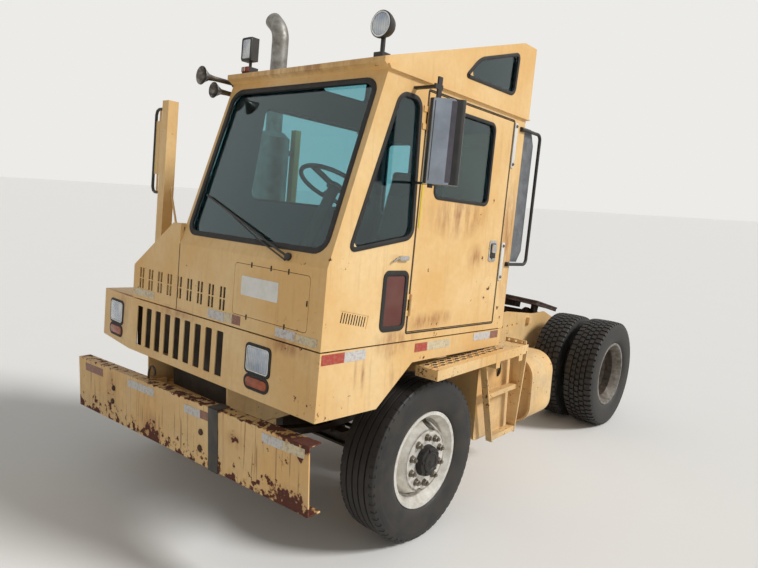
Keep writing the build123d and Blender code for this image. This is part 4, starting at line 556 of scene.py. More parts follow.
# Rust water on the cab: centres from the front axle's foot and reaches, both in metres
CAB_STAINS = [
    ((-0.13, 1.20, 1.98), (0.36, 0.08, 0.16)),
    ((-0.33, 1.20, 1.72), (0.10, 0.08, 0.10)),
    ((0.12, 1.20, 1.38), (0.34, 0.08, 0.06)),
    ((0.40, 1.20, 1.30), (0.22, 0.08, 0.10)),
    ((0.97, 0.95, 1.30), (0.12, 0.20, 0.06)),
    ((0.98, -0.05, 1.30), (0.08, 0.30, 0.05)),
]
# The same on the leaning cab: centres in millimetres, reaches in metres
LEANING_STAINS = [
    ((481, 1200, 1213), (0.07, 0.05, 0.06)),
    ((466, 1200, 1120), (0.028, 0.05, 0.13)),
    ((700, 1200, 1110), (0.02, 0.05, 0.12)),
    ((760, 1200, 1120), (0.015, 0.05, 0.13)),
    ((752, 575, 2684), (0.04, 0.75, 0.05)),
    ((-620, 1200, 1900), (0.10, 0.05, 0.60)),
    ((1010, -700, 1150), (0.09, 0.10, 0.20)),
]
# Places where the bumper was knocked, in metres
BUMPER_KNOCKS = [
    ((1.0, -0.22, 0.52), (0.15, 0.13, 0.17)),
    ((1.0, 0.64, 0.73), (0.15, 0.10, 0.06)),
    ((1.0, 1.10, 0.55), (0.15, 0.16, 0.10)),
    ((1.0, 1.15, 0.84), (0.15, 0.10, 0.06)),
    ((1.0, -0.75, 0.66), (0.15, 0.08, 0.16)),
]
# Metals without paint: light, dark, patch size, roughness from and to, metallic, grime and relief in metres
METALS = {
    # Hub castings soaked in grease and grit: nearly black with a wet gleam in places
    "greasy_iron": ("#141312", "#241E19", 0.02, (0.35, 0.75), 0.2, 0.12, 0.0008),
    # Cast and forged iron under road dirt: brown-black and dull
    "chassis_iron": ("#2A2622", "#443629", 0.06, (0.5, 0.8), 0.3, 0.6, 0.0006),
    # Hot-rolled steel left to the weather under old grease: brown rust with dark smears
    "rusted_steel": ("#4A2E1E", "#2A201A", 0.05, (0.55, 0.85), 0.25, 0.35, 0.0008),
    # Galvanised sheet gone dull: cloudy mid grey
    "galvanised_sheet": ("#7C7F83", "#5F6164", 0.09, (0.42, 0.58), 0.5, 0.2, 0.0003),
    # Old chrome gone dull: brown film over a mirror, paler where a hand rubs it
    "aged_chrome": ("#8D8A86", "#554B42", 0.03, (0.25, 0.5), 0.9, 0.35, 0.0001),
    # Polished stainless pressings: blue-grey as a painted reflection of the sky, and a darker copy as painted
    # shade on the face that is turned away
    "mirror_shell": ("#9AA2AD", "#868D98", 0.12, (0.16, 0.26), 0.9, 0.15, 0.00004),
    "mirror_shell_dark": ("#5E5C66", "#4C4A52", 0.12, (0.2, 0.3), 0.8, 0.15, 0.00004),
    # Aluminised steel pipe, browned by heat
    "aluminised_pipe": ("#9C9B97", "#7C7871", 0.05, (0.4, 0.6), 0.85, 0.45, 0.0003),
    # Decorative chrome: sharp bright edges
    "chrome_plate": ("#D0D0CE", "#B4B4B2", 0.02, (0.10, 0.22), 1.0, 0.12, 0.00005),
    # Zinc-plated nuts and bolts: warm grey with browned flats
    "zinc_bolt": ("#8F8C84", "#6B5A48", 0.01, (0.4, 0.65), 0.8, 0.4, 0.0003),
    # Silvered glass: an even mirror
    "mirror_silver": ("#DADCDD", "#CDD0D1", 0.2, (0.03, 0.09), 1.0, 0.1, 0.00002),
}
# Moulded goods: colour, share of dust and roughness
MOULDINGS = {
    # Extruded rubber: nearly black and matt
    "window_rubber": ("#0F0F0F", 0.05, 0.6),
    # Black plastic and enamelled steel: a soft sheen
    "black_moulding": ("#101011", 0.08, 0.42),
    # Rubber strap greyed by sun
    "strap_rubber": ("#3F3C39", 0.2, 0.6),
    # Foam strip, bright yellow under dust
    "yellow_seal": ("#D9BE2E", 0.2, 0.5),
    # Red-brown plate behind the low window's glass, which gives the window its reddish look
    "stained_board": ("#5B2A22", 0.1, 0.6),
    # Marker lens gone dull: brick red
    "brick_red_plastic": ("#7E2B20", 0.2, 0.5),
    # Vinyl cover: a leather grain, greased by use
    "seat_vinyl": ("#2B2B2E", 0.12, 0.46, 0.0015, 0.0004),
    # Pressed board: flat dark grey
    "cab_lining": ("#3A3A38", 0.2, 0.6),
    # White nylon strips, dusty
    "white_strip": ("#D8D6CF", 0.25, 0.45),
}
# Brown rings on a wheel, each a radius, half width and share: the disc's step, the rim's well and the dish,
# whose wide ring is painted shade
FRONT_RINGS = ((0.187, 0.010, 0.75), (0.243, 0.006, 0.6))
DUAL_RINGS = ((0.17, 0.11, 0.9),)


def build_finishes():
    """Make every material."""
    foot = axle_foot()
    stains = [(foot + Vector(centre), reach) for centre, reach in CAB_STAINS]
    stains += [(CAB @ Vector(centre), reach) for centre, reach in LEANING_STAINS]
    knocks = [(foot + Vector(centre), reach) for centre, reach in BUMPER_KNOCKS]
    # Two-pack enamel over pressed sheet, chalked by sun: satin, with thin brown runs under seams
    weathered_enamel("cab_enamel", chips=-0.015, streaks=0.24, dirt=0.3, stains=stains, lined_and_shaded=True)
    # The same enamel under road dirt: dusty, with wide runs
    weathered_enamel("chassis_enamel", chips=0.03, streaks=0.5, dirt=0.7, chip_size=0.035, gloss=0.55)
    # The same enamel on the bumper, knocked off down to brown rust in plates
    weathered_enamel("chipped_enamel", chips=0.055, streaks=0.4, dirt=0.35, stains=knocks, chip_size=0.045,
                     gloss=0.5, bite=0.22, knocked=bumper_edges)
    # The same enamel trodden through in small chips
    weathered_enamel("step_enamel", chips=0.10, streaks=0.5, dirt=0.7, chip_size=0.02, gloss=0.55)
    # Aluminium wheel paint: bright, with brown rings in the step of the disc and along the rim's well
    wheel_paint("wheel_silver", 0, "#E2DFD8", "#C4BFB4", FRONT_RINGS, 0.45)
    # The same paint on the inner wheels, darker, with a wide ring of painted shade over the deep dish
    wheel_paint("wheel_grey", REAR_AXLE_X / 1000, "#8A867E", "#5C5449", DUAL_RINGS, 0.3)
    for name, values in METALS.items():
        bare_metal(name, *values)
    for name, values in MOULDINGS.items():
        moulded(name, *values)
    build_tyre_rubber()
    build_glass()
    build_reflective()


def wheel_paint(name, hub_x, light, dark, rings, metallic):
    """Sprayed wheel paint with brown rings, each a radius, half width and share; a wide ring over a deep dish
    is painted shade.
    """
    tree, shader, place = new_finish(name)
    tone = blend(tree, ramp(tree, noise(tree, place, 0.05, 6, 0.62), 0.36, 0.66), linear(light), linear(dark))
    x, _, z = local_place(tree, place, 0, "Y", (hub_x, 0, HUB_Z / 1000))
    flat = put(tree, "CombineXYZ", links={"X": x, "Z": z})
    reach = put(tree, "VectorMath", links={0: flat.outputs[0]}, operation="LENGTH").outputs["Value"]
    # Each ring darkens the paint; the dish's wide ring is painted shade
    for radius, half, share in rings:
        off = times(tree, times(tree, reach, radius, "SUBTRACT", False), 0, "ABSOLUTE")
        ring_patches = ramp(tree, noise(tree, place, 0.03, 5, 0.6), 0.3, 0.6, 0.45, 1.0)
        mark = times(tree, times(tree, ramp(tree, off, half * 0.3, half, 1, 0), ring_patches), share)
        tone = blend(tree, mark, tone, linear("#4B3323"))
    surface(tree, shader, tone, ramp(tree, noise(tree, place, 0.02, 5), 0.3, 0.7, 0.3, 0.5), metallic)
    bump(tree, shader, noise(tree, place, 0.004, 3), 0.0002)


def build_tyre_rubber():
    """Cured tread rubber: brown-black, pale dust on the side walls and in the grooves."""
    tree, shader, place = new_finish("tyre_rubber")
    worn = put(tree, "Attribute", attribute_name="worn", attribute_type="GEOMETRY").outputs["Fac"]
    patches = ramp(tree, noise(tree, place, 0.11, 7, 0.65), 0.40, 0.74)
    dusty = times(tree, times(tree, patches, ramp(tree, worn, 0, 1, 0.6, 0.2)), 0.55)
    tone = blend(tree, worn, linear("#191817"), linear("#26221F"))
    surface(tree, shader, blend(tree, dusty, tone, linear("#5F564B")), ramp(tree, patches, 0, 1, 0.55, 0.85))
    bump(tree, shader, noise(tree, place, 0.006, 4), 0.0006)


def build_glass():
    """Window glass, lamp glass and indicator lenses."""
    colours = bpy.context.scene.tractor_colours
    # Laminated safety glass: blue-green body tint that also paints in the sky seen through it, sharp
    # reflections, faintly dulled by dust
    tree, shader, place = new_finish("safety_glass")
    film = ramp(tree, noise(tree, place, 0.25, 3), 0.45, 0.8, 0.0, 0.02)
    surface(tree, shader, (*colours.glass, 1), film)
    shader.inputs["Transmission Weight"].default_value = 1.0
    shader.inputs["IOR"].default_value = 1.5
    # Pressed lamp glass with moulded flutes: grey-blue and pale patches are painted reflections of the sky
    # and of a bright bowl behind it, with darker painted stripes along the flutes
    tree, shader, place = new_finish("lamp_glass")
    flutes = put(tree, "TexWave", {"Scale": 22, "Distortion": 0.6}, {"Vector": place}, bands_direction="Y")
    reflection_patches = ramp(tree, noise(tree, place, 0.10, 3), 0.35, 0.65)
    painted_reflection = blend(tree, reflection_patches, linear("#97A3B4"), linear("#D2D4D2"))
    tone = blend(tree, times(tree, flutes.outputs["Fac"], 0.25), painted_reflection, linear("#6B778A"))
    surface(tree, shader, tone, 0.14, 0.35)
    shader.inputs["Coat Weight"].default_value = 0.8
    bump(tree, shader, flutes.outputs["Fac"], 0.0015)
    # Acrylic indicator lens: deep amber with square prisms
    tree, shader, place = new_finish("amber_lens")
    prisms = put(tree, "TexChecker", {"Scale": 160}, {"Vector": place})
    glow = ramp(tree, noise(tree, place, 0.05, 3), 0.35, 0.65)
    tone = blend(tree, glow, colours.amber, linear("#7A3008"))
    tone = blend(tree, times(tree, prisms.outputs["Fac"], 0.35), tone, linear("#8A3C06"))
    surface(tree, shader, tone, 0.3)
    shader.inputs["Coat Weight"].default_value = 0.15
    bump(tree, shader, prisms.outputs["Fac"], 0.0006)


def build_reflective():
    """Reflective tape and tail lenses, a honeycomb of beads under a scuffed film, and a blank label."""
    for name, code in (("tape_red", "#B2382C"), ("tape_silver", "#CFCDCA"), ("tape_cream", "#D8C9A6"),
                       ("tape_worn_red", "#8A5442"), ("tail_red", "#8E1A12")):
        tree, shader, place = new_finish(name)
        cells = put(tree, "TexVoronoi", {"Scale": 260}, {"Vector": place}, feature="DISTANCE_TO_EDGE")
        scuffed = ramp(tree, noise(tree, place, 0.02, 7, 0.7), 0.48, 0.62, 0.0, 0.6)
        tone = blend(tree, ramp(tree, cells.outputs["Distance"], 0.0, 0.12, 0.3, 0.0), linear(code),
                     linear("#5C4A3C"))
        surface(tree, shader, blend(tree, scuffed, tone, linear("#9A7F62")), 0.35)
        bump(tree, shader, cells.outputs["Distance"], 0.0002)
    # Vinyl sticker, blank: matt white, edges dusty
    tree, shader, place = new_finish("blank_sticker")
    grime = ramp(tree, noise(tree, place, 0.05, 6), 0.4, 0.8, 0.0, 0.3)
    tone = blend(tree, grime, linear("#E3E1DB"), linear("#B3A892"))
    surface(tree, shader, tone, ramp(tree, grime, 0, 0.3, 0.35, 0.6))


NODE_FINISHES = {
    "cab_enamel": "cab_front cab_left_wall cab_right_wall cab_rear_wall cab_roof hood access_panel door_left "
                  "rear_door fascia left_skirt right_deck right_mirror exhaust_post cab_floor",
    "chassis_enamel": "frame side_plates rear_deck rear_axle fuel_tank hydraulic_tank",
    "aged_chrome": "horns",
    "chipped_enamel": "front_bumper",
    "step_enamel": "step_plank step_ladder",
    "wheel_silver": "front_left_wheel front_right_wheel",
    "wheel_grey": "rear_left_wheels rear_right_wheels",
    "tyre_rubber": "front_left_tyre front_right_tyre rear_left_tyres rear_right_tyres",
    "safety_glass": "cab_glass door_glass",
    "lamp_glass": "front_lamps",
    "tail_red": "tail_lamps",
    "black_moulding": "dash steering_wheel grab_rail left_mirror roof_lamps",
    "seat_vinyl": "seat",
    "galvanised_sheet": "corner_channel",
    "aluminised_pipe": "exhaust",
    "chrome_plate": "lift_rods",
    "greasy_iron": "knuckle_left knuckle_right tie_rod driveshaft lift_barrels",
    "chassis_iron": "engine radiator front_axle leaf_springs",
    "rusted_steel": "boom fifth_wheel",
}

# Windows: opening corners, corner radius, plane, body and how far the rubber reaches over the sheet
ROOF_WINDOW = [(70, 2757), (-482, 2763), (-498, 3022), (-60, 2886)]
WINDOWS = {
    "windscreen": (rect((0, 76), (1148, 971)), 75, SCREEN, "cab", 15),
    "front_side": ([(886, 1752), (610, 2560), (438, 2560), (402, 1835)], 55, LEFT, "cab", 9),
    "kick": (rect((413, 1345), (598, 1646)), 30, LEFT, "cab", 13),
    "right": ([(560, 1960), (480, 2560), (-520, 2560), (-520, 1960)], 60, RIGHT, "cab", 9),
    "roof_left": (ROOF_WINDOW, 45, ROOF_LEFT, "cab", 7),
    "roof_right": (ROOF_WINDOW, 45, ROOF_RIGHT, "cab", 7),
    "rear": (rect((40, 1960), (290, 2500)), 40, REAR, "cab", 9),
    "door": (rect((-320, 2060), (250, 2557)), 45, LEFT, "driver_door", 5),
}


class TRACTOR_OT_finishes(bpy.types.Operator):
    """Make the materials and give each frame node its own"""

    bl_idname = "tractor.finishes"
    bl_label = "Finishes"

    def execute(self, context):
        build_finishes()
        for finish, names in NODE_FINISHES.items():
            for name in names.split():
                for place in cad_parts[name].material_slots:
                    place.material = bpy.data.materials[finish]
        return {"FINISHED"}


class TRACTOR_OT_gaskets(bpy.types.Operator):
    """Seat a black rubber round every window"""

    bl_idname = "tractor.gaskets"
    bl_label = "Window rubbers"

    def execute(self, context):
        trim = context.scene.tractor_trim
        for body in ("cab", "driver_door"):
            parts = []
            for corners, radius, plane, owner, out in WINDOWS.values():
                if owner == body:
                    shape = ring(corners, radius, out, trim.gasket_in, -9, trim.gasket_high, 3)
                    parts.append((shape, plane, "window_rubber"))
            assemble(f"window_rubber_{body}", body, parts)
        # A red-brown plate behind the low window's glass
        board = plate(rect((418, 1350), (593, 1641)), 26, -8, -1, 2)
        assemble("low_window_board", "cab", [(board, LEFT, "stained_board")])
        # The rear door stands off the wall on its rails
        rear = facing_back(CAB, (REAR_X - 42, 0, 0))
        shape = ring(rect((400, 1960), (930, 2480)), 40, 20, 10, -8, 6, 3)
        assemble("window_rubber_rear_door", "sliding_door", [(shape, rear, "window_rubber")])
        return {"FINISHED"}


# Half of a tyre's section from bead to crown: distance from its middle and radius
SIDE_WALL = [
    (109, 286), (109, 299), (117, 303.5), (122, 309), (129, 322), (134.5, 342), (138, 365), (139.4, 388),
    (139.5, 407), (138.6, 424), (137.6, 438), (137.9, 441), (136.4, 445), (136.6, 449), (135.2, 453),
    (135.2, 457), (133.4, 461), (131.5, 470), (129.5, 478), (127, 486), (124.5, 490.5), (121, 493.4),
]
# Node, its body, the axle's place, the tyres' middles and the tread
TYRE_SETS = {
    "front_left_tyre": ("front_left", 0, (1058,), "ribs"),
    "front_right_tyre": ("front_right", 0, (-1058,), "ribs"),
    "rear_left_tyres": ("rear_left", REAR_AXLE_X, (1061, 718), "lugs"),
    "rear_right_tyres": ("rear_right", REAR_AXLE_X, (-1061, -718), "lugs"),
}
# Grooves: middles, half widths at the top and the bottom, and the crown's fall at its shoulder
GROOVE_MIDDLES, GROOVE_TOP, GROOVE_BOTTOM = (22, 68), 5.5, 3.2
CROWN_FALL, SHOULDER = 4.2, 118
# Lanes of the tread: from and to, seen from its middle, and which of three steps is cut in each
LUG_LANES = ((73.5, 130, 0), (27.5, 62.5, 1), (0, 16.5, 2))
RIB_LANES = ((108, 130, 0),)
# Depth of the cuts in ribs, lowest radius of the tread, and the radius in metres where rubber is worn clean
RIB_CUT, TREAD_FLOOR, WORN_RADIUS = 3, 478, 0.4925


def tyre_section(groove):
    """A whole tyre section, bead to bead over the crown, with grooves running round it."""
    crown = []
    for centre in GROOVE_MIDDLES:
        top = TYRE_RADIUS - CROWN_FALL * (centre / SHOULDER) ** 2
        crown += [(centre - GROOVE_TOP, top), (centre - GROOVE_BOTTOM, top - groove),
                  (centre + GROOVE_BOTTOM, top - groove), (centre + GROOVE_TOP, top)]
    half = SIDE_WALL + [(100, 496.9)] + list(reversed(crown))
    return [(-y, r) for y, r in half] + [(0, TYRE_RADIUS)] + [(y, r) for y, r in reversed(half)]


def tyre_shape(pattern, steps, groove):
    """One tyre about its own axle, standing along u."""
    bm = spun([(y, 0, radius) for y, radius in tyre_section(groove)], (1, 0, 0), steps, True)
    bmesh.ops.recalc_face_normals(bm, faces=bm.faces)

    def in_lane(face, low, high, step):
        middle = face.calc_center_median()
        index = round(math.atan2(middle.y, middle.z) / math.tau * steps - 0.5) % steps
        on_tread = math.hypot(middle.y, middle.z) > TREAD_FLOOR
        return on_tread and low < abs(middle.x) < high and index % 3 == step

    lanes, depth = (LUG_LANES, groove) if pattern == "lugs" else (RIB_LANES, RIB_CUT)
    cut = [face for lane in lanes for face in bm.faces if in_lane(face, *lane)]
    bmesh.ops.inset_region(bm, faces=cut, thickness=0.4, depth=-depth, use_even_offset=True)
    return bm


class TRACTOR_OT_tyres(bpy.types.Operator):
    """Turn the tyres with side walls, ribs and shoulder lugs"""

    bl_idname = "tractor.tyres"
    bl_label = "Tyres"

    def execute(self, context):
        tyres = context.scene.tractor_tyres
        for node, (body, axle_x, middles, pattern) in TYRE_SETS.items():
            parts = []
            for middle in middles:
                shape = tyre_shape(pattern, tyres.steps, tyres.groove)
                turned = face_on(GROUND, (axle_x, middle, HUB_Z), (0, 1, 0), (1, 0, 0), (0, 0, 1))
                parts.append((shape, turned, "tyre_rubber"))
            piece = assemble(f"tread_{body}", body, parts, smooth=28)
            worn = piece.data.attributes.new("worn", "FLOAT", "POINT")
            hub = GROUND @ Vector((axle_x, 0, HUB_Z))
            worn.data.foreach_set("value", [
                float(math.hypot(v.co.x - hub.x, v.co.z - hub.z) > WORN_RADIUS) for v in piece.data.vertices])
            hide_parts(node)
        return {"FINISHED"}


FLAT_TO_CORNER = 1.732


def hex_nut(across, height, stud, stud_high):
    """A wheel nut with its washer face and the end of its stud."""
    bm = bmesh.new()
    corner = across / FLAT_TO_CORNER
    bmesh.ops.create_cone(bm, cap_ends=True, segments=6, radius1=corner, radius2=corner, depth=height,
                          matrix=Matrix.Translation((0, 0, height / 2)))
    bevel(bm, [edge for edge in bm.edges if all(v.co.z > height - 0.1 for v in edge.verts)], 2, 1)
    for radius, low, high in ((across * 0.66, 0, 3), (stud, height - 1, stud_high)):
        bmesh.ops.create_cone(bm, cap_ends=True, segments=16, radius1=radius, radius2=radius * 0.94,
                              depth=high - low, matrix=Matrix.Translation((0, 0, (high + low) / 2)))
    return bm


# Body, the axle's place, side, and how far the nuts' seats stand from the middle
FRONT_FACE, DUAL_FACE = 1175, 901.5
WHEELS = {
    "front_left": (0, 1, FRONT_FACE),
    "front_right": (0, -1, FRONT_FACE),
    "rear_left": (REAR_AXLE_X, 1, DUAL_FACE),
    "rear_right": (REAR_AXLE_X, -1, DUAL_FACE),
}
NUT_CIRCLE = 143
# Sections of the hubs: radius and distance from the nuts' seats
FRONT_HUB = [(112, -11), (108, -5), (99, -3), (95, 3), (93, 22), (88, 36), (84, 38), (66, 39), (63, 46),
             (56, 48.5), (48, 48.5), (45, 45.5), (26, 45.5), (22, 48), (0, 48.5)]
DUAL_HUB = [(122, 0.5), (119, 12.6), (112, 30), (99, 100), (97, 119), (86, 125), (79.5, 147), (60, 151),
            (0, 152)]


class TRACTOR_OT_wheel_hubs(bpy.types.Operator):
    """Bolt the wheels: ten nuts on studs, a greasy hub and its cap"""

    bl_idname = "tractor.wheel_hubs"
    bl_label = "Wheel nuts and hubs"

    def execute(self, context):
        for body, (axle_x, side, face) in WHEELS.items():
            out = facing_side(GROUND, (axle_x, side * face, HUB_Z), side)
            front = body.startswith("front")
            nuts = all_round(lambda: hex_nut(36, 24, 11, 36), 10, NUT_CIRCLE, start=18)
            parts = [(nut, out, "zinc_bolt" if front else "greasy_iron") for nut in nuts]
            if front:
                parts.append((lathe(FRONT_HUB, 40), out, "greasy_iron"))
                caps = all_round(lambda: hex_nut(17, 7, 4, 8), 5, 75, 38, start=10)
                parts += [(cap, out, "greasy_iron") for cap in caps]
            else:
                parts.append((lathe(DUAL_HUB, 40), out, "chassis_iron"))
                caps = all_round(lambda: hex_nut(15, 7, 4, 8), 8, 88, 121)
                parts += [(cap, out, "zinc_bolt") for cap in caps]
            assemble(f"hub_{body}", body, parts)
        return {"FINISHED"}


# Headlamps with their indicators below: middles and planes, heights, half widths and half heights
HEADLAMPS = ((748, FRONT), (-210, WING))
HEAD_Z, HEAD_HALF = 1133, (96, 73)
TURN_Z, TURN_HALF = 1009, (94, 33)
TAIL_X, TAIL_Y, TAIL_Z = -3640, 300, 750


def around(u, v, half):
    """The corners of a rectangle about a middle."""
    return rect((u - half[0], v - half[1]), (u + half[0], v + half[1]))


class TRACTOR_OT_front_lamps(bpy.types.Operator):
    """Fit chrome rims and lenses to the headlamps and indicators"""

    bl_idname = "tractor.front_lamps"
    bl_label = "Front lamps"

    def execute(self, context):
        parts = []
        for u, plane in HEADLAMPS:
            head = around(u, HEAD_Z, HEAD_HALF)
            parts.append((ring(head, 20, 9, 5, -4, 5, 2.5), plane, "window_rubber"))
            parts.append((ring(grown(head, -8), 17, 3, 4, -4, 7, 1.5), plane, "chrome_plate"))
            parts.append((plate(grown(head, -11), 14, -3, 8, 7), plane, "lamp_glass"))
            turn = around(u, TURN_Z, TURN_HALF)
            parts.append((ring(turn, 32, 9, 5, -4, 5, 2), plane, "window_rubber"))
            parts.append((plate(grown(turn, -6), 26, -3, 8, 6), plane, "amber_lens"))
        assemble("front_lamp_lenses", "chassis", parts)
        return {"FINISHED"}


class TRACTOR_OT_tail_lamps(bpy.types.Operator):
    """Fit rubber rims and red lenses to the tail lamps"""

    bl_idname = "tractor.tail_lamps"
    bl_label = "Tail lamps"

    def execute(self, context):
        parts = []
        for y in (-TAIL_Y, TAIL_Y):
            back = facing_back(GROUND, (TAIL_X, y, TAIL_Z))
            parts.append((lathe([(35, -6), (35, 2), (32, 4), (30, 0)], 28), back, "window_rubber"))
            parts.append((lathe([(31, -1), (29, 4), (18, 7), (0, 8)], 28), back, "tail_red"))
        assemble("tail_lamp_lenses", "chassis", parts)
        return {"FINISHED"}


class TRACTOR_OT_wiper(bpy.types.Operator):
    """Lay the long wiper across the windscreen"""

    bl_idname = "tractor.wiper"
    bl_label = "Wiper"

    def execute(self, context):
        pivot, tip = Vector((917, 26, 0)), Vector((64, 311, 0))
        along = (tip - pivot).normalized()
        across = Vector((-along.y, along.x, 0))

        def at(run, aside, height):
            return pivot + along * run + across * aside + Vector((0, 0, height))

        reach = (tip - pivot).length
        arm = tube([at(0, 0, 16), at(160, 0, 22), at(560, 0, 15)], 6)
        link = tube([at(0, 22, 12), at(300, 18, 18), at(540, 6, 14)], 4)
        bridge = tube([at(250, 0, 2), at((250 + reach) / 2, 0, 8), at(reach, 0, 2)], 5)
        blade = rod(at(250, 0, -5), at(reach, 0, -5), 5, 6)
        parts = [(moved(lathe([(20, -4), (20, 12), (14, 20), (0, 21)], 20), pivot), SCREEN, "black_moulding")]
        parts += [(shape, SCREEN, "black_moulding") for shape in (arm, link, bridge)]
        parts.append((blade, SCREEN, "window_rubber"))
        assemble("wiper", "cab", parts)
        return {"FINISHED"}


# Reflective tapes: lower corner (u, v), length, height, plane, body and finishes from one end to the other
TAPES = [
    ((278, 1280), 152, 50, FRONT, "cab", ("tape_silver",)),
    ((432, 1284), 146, 50, FRONT, "cab", ("tape_cream", "tape_worn_red")),
    ((867, 1286), 150, 46, FRONT, "cab", ("tape_silver",)),
    ((1028, 1284), 146, 42, FRONT, "cab", ("tape_cream",)),
    ((-548, 1290), 250, 44, FRONT, "cab", ("tape_cream",)),
    ((695, 1203), 314, 52, LEFT, "chassis", ("tape_silver", "tape_red")),
    ((-64, 1196), 346, 50, LEFT, "chassis", ("tape_cream", "tape_cream", "tape_red")),
    ((-627, 1208), 300, 48, LEFT, "chassis", ("tape_worn_red", "tape_silver", "tape_silver")),
    ((-509, 106), 325, 50, BUMPER, "chassis", ("tape_silver",)),
    ((151, 92), 165, 50, BUMPER, "chassis", ("tape_silver",)),
    ((316, 96), 78, 48, BUMPER, "chassis", ("tape_worn_red",)),
    ((869, 108), 322, 50, BUMPER, "chassis", ("tape_silver", "tape_cream")),
    ((-1113, 98), 258, 54, BUMPER, "chassis", ("tape_worn_red",)),
]


class TRACTOR_OT_tapes(bpy.types.Operator):
    """Stick worn reflective tape along the seam, the bumper and the cab's side, and a blank label"""

    bl_idname = "tractor.tapes"
    bl_label = "Reflective tapes"

    def execute(self, context):
        for body in ("cab", "chassis"):
            parts = []
            for (u, v), long, high, plane, owner, finishes in TAPES:
                if owner == body:
                    step = long / len(finishes)
                    for place, finish in enumerate(finishes):
                        ends = u + step * place, u + step * (place + 1)
                        strip = plate(rect((ends[0], v), (ends[1], v + high)), 0, 0.3, 1.6)
                        parts.append((strip, plane, finish))
            assemble(f"reflective_tapes_{body}", body, parts)
        label = plate(rect((566, 1453), (866, 1556)), 8, 0.3, 1.4)
        assemble("blank_label", "cab", [(label, FRONT, "blank_sticker")])
        return {"FINISHED"}


# Fascia slots: middles, half width and height as the frame has them, and how much each side is opened
SLOT_PITCH, SLOT_MIDDLE, SLOT_HALF, SLOT_OPEN = 108, -26, 22, 0.010
SLOTS = [SLOT_PITCH * (place - 4) + SLOT_MIDDLE for place in range(9)]
SLOT_LOW, SLOT_HIGH = 970, 1223
# Louvres: pairs of slits in two rows
LOUVRE_ROWS, LOUVRE_APART, LOUVRE_HALF = (1371, 1440), 16, (10, 31)
PANEL_CATCHES = ((935, 1620), (1082, 1484), (930, 1343), (625, 1340), (643, 1619), (800, 1620))


class TRACTOR_OT_front_sheet(bpy.types.Operator):
    """Open the fascia's slots to their full width, put black plates of painted shade behind the louvres and
    fit the panel's catches
    """

    bl_idname = "tractor.front_sheet"
    bl_label = "Front sheet metal"

    def execute(self, context):
        bm = bmesh.new()
        bm.from_mesh(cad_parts["fascia"].data)
        bmesh.ops.remove_doubles(bm, verts=bm.verts, dist=1e-6)
        to_plane = CAB.inverted()
        for vert in bm.verts:
            place = to_plane @ vert.co
            for slot in SLOTS:
                beside = abs(place.y - slot) < SLOT_HALF + 1 and place.x > FRONT_X - 10
                if beside and SLOT_LOW - 2 < place.z < SLOT_HIGH + 2:
                    vert.co.y += math.copysign(SLOT_OPEN, place.y - slot)
        mesh = as_mesh(bm, "slotted_fascia", ["cab_enamel"])
        piece = place_piece("slotted_fascia", mesh, "chassis")
        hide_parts("fascia")
        parts = []
        # Black plates behind each louvre slit: painted shade
        for slot in SLOTS:
            for aside in (-LOUVRE_APART, LOUVRE_APART):
                for v in LOUVRE_ROWS:
                    slit = around(slot - 2 + aside, v, LOUVRE_HALF)
                    parts.append((plate(slit, 0, -12, -8), FRONT, "window_rubber"))
        assemble("louvre_shade_plates", "cab", parts)
        parts = [(plate(rect((-47, 1272), (-42, 1666)), 0, 0.2, 1.2), FRONT, "window_rubber")]
        for u, v in PANEL_CATCHES:
            parts.append((plate(around(u, v, (4, 14)), 3, 0.3, 3, 1), FRONT, "window_rubber"))
        assemble("panel_catches", "cab", parts)
        return {"FINISHED"}


# The rubber strap's ends along the bumper, its bolts, and the tow hook behind it
STRAP_ENDS = (398, 488)
BUMPER_BOLTS = ((-701, 52), (-719, -42), (324, 15), (313, -82))
HOOK = [(950, -362, 812), (948, -358, 868), (948, -322, 906), (948, -286, 880), (948, -292, 852)]


class TRACTOR_OT_bumper_fittings(bpy.types.Operator):
    """Wrap the strap round the bumper and fit its bolts and the hook behind it"""

    bl_idname = "tractor.bumper_fittings"
    bl_label = "Bumper fittings"

    def execute(self, context):
        # The strap lies on the face and both flanges
        low, high = STRAP_ENDS
        runs = (((-184, 0.5), (184, 5)), ((179, -84), (184, 5)), ((-184, -84), (-179, 5)))
        parts = [(block((low, *start), (high, *end), 1.5), BUMPER, "strap_rubber") for start, end in runs]
        for u, v in BUMPER_BOLTS:
            head = moved(lathe([(19, 0), (19, 5), (14, 10), (0, 12)], 20), (u, v, 0))
            parts.append((head, BUMPER, "rusted_steel"))
        parts.append((tube(HOOK, 7), GROUND, "chassis_iron"))
        assemble("bumper_fittings", "chassis", parts)
        return {"FINISHED"}


# Grip holes: places along the plank, rows with their shift, half diagonals and the plank's front end
PLANK_Z = 1105
GRIP_X = [-224 + 74 * step for step in range(-6, 5)]
GRIP_ROWS = ((1189, 0), (1251, 0), (1220, 37))
GRIP_LONG, GRIP_WIDE, GRIP_END = 25, 12, 90
FILLER_CAP = (-715, 1050, 955)
FILLER_PIPE = [(-750, 1066, 985), (-800, 1104, 1004), (-862, 1130, 962), (-884, 1132, 880), (-884, 1118, 850)]


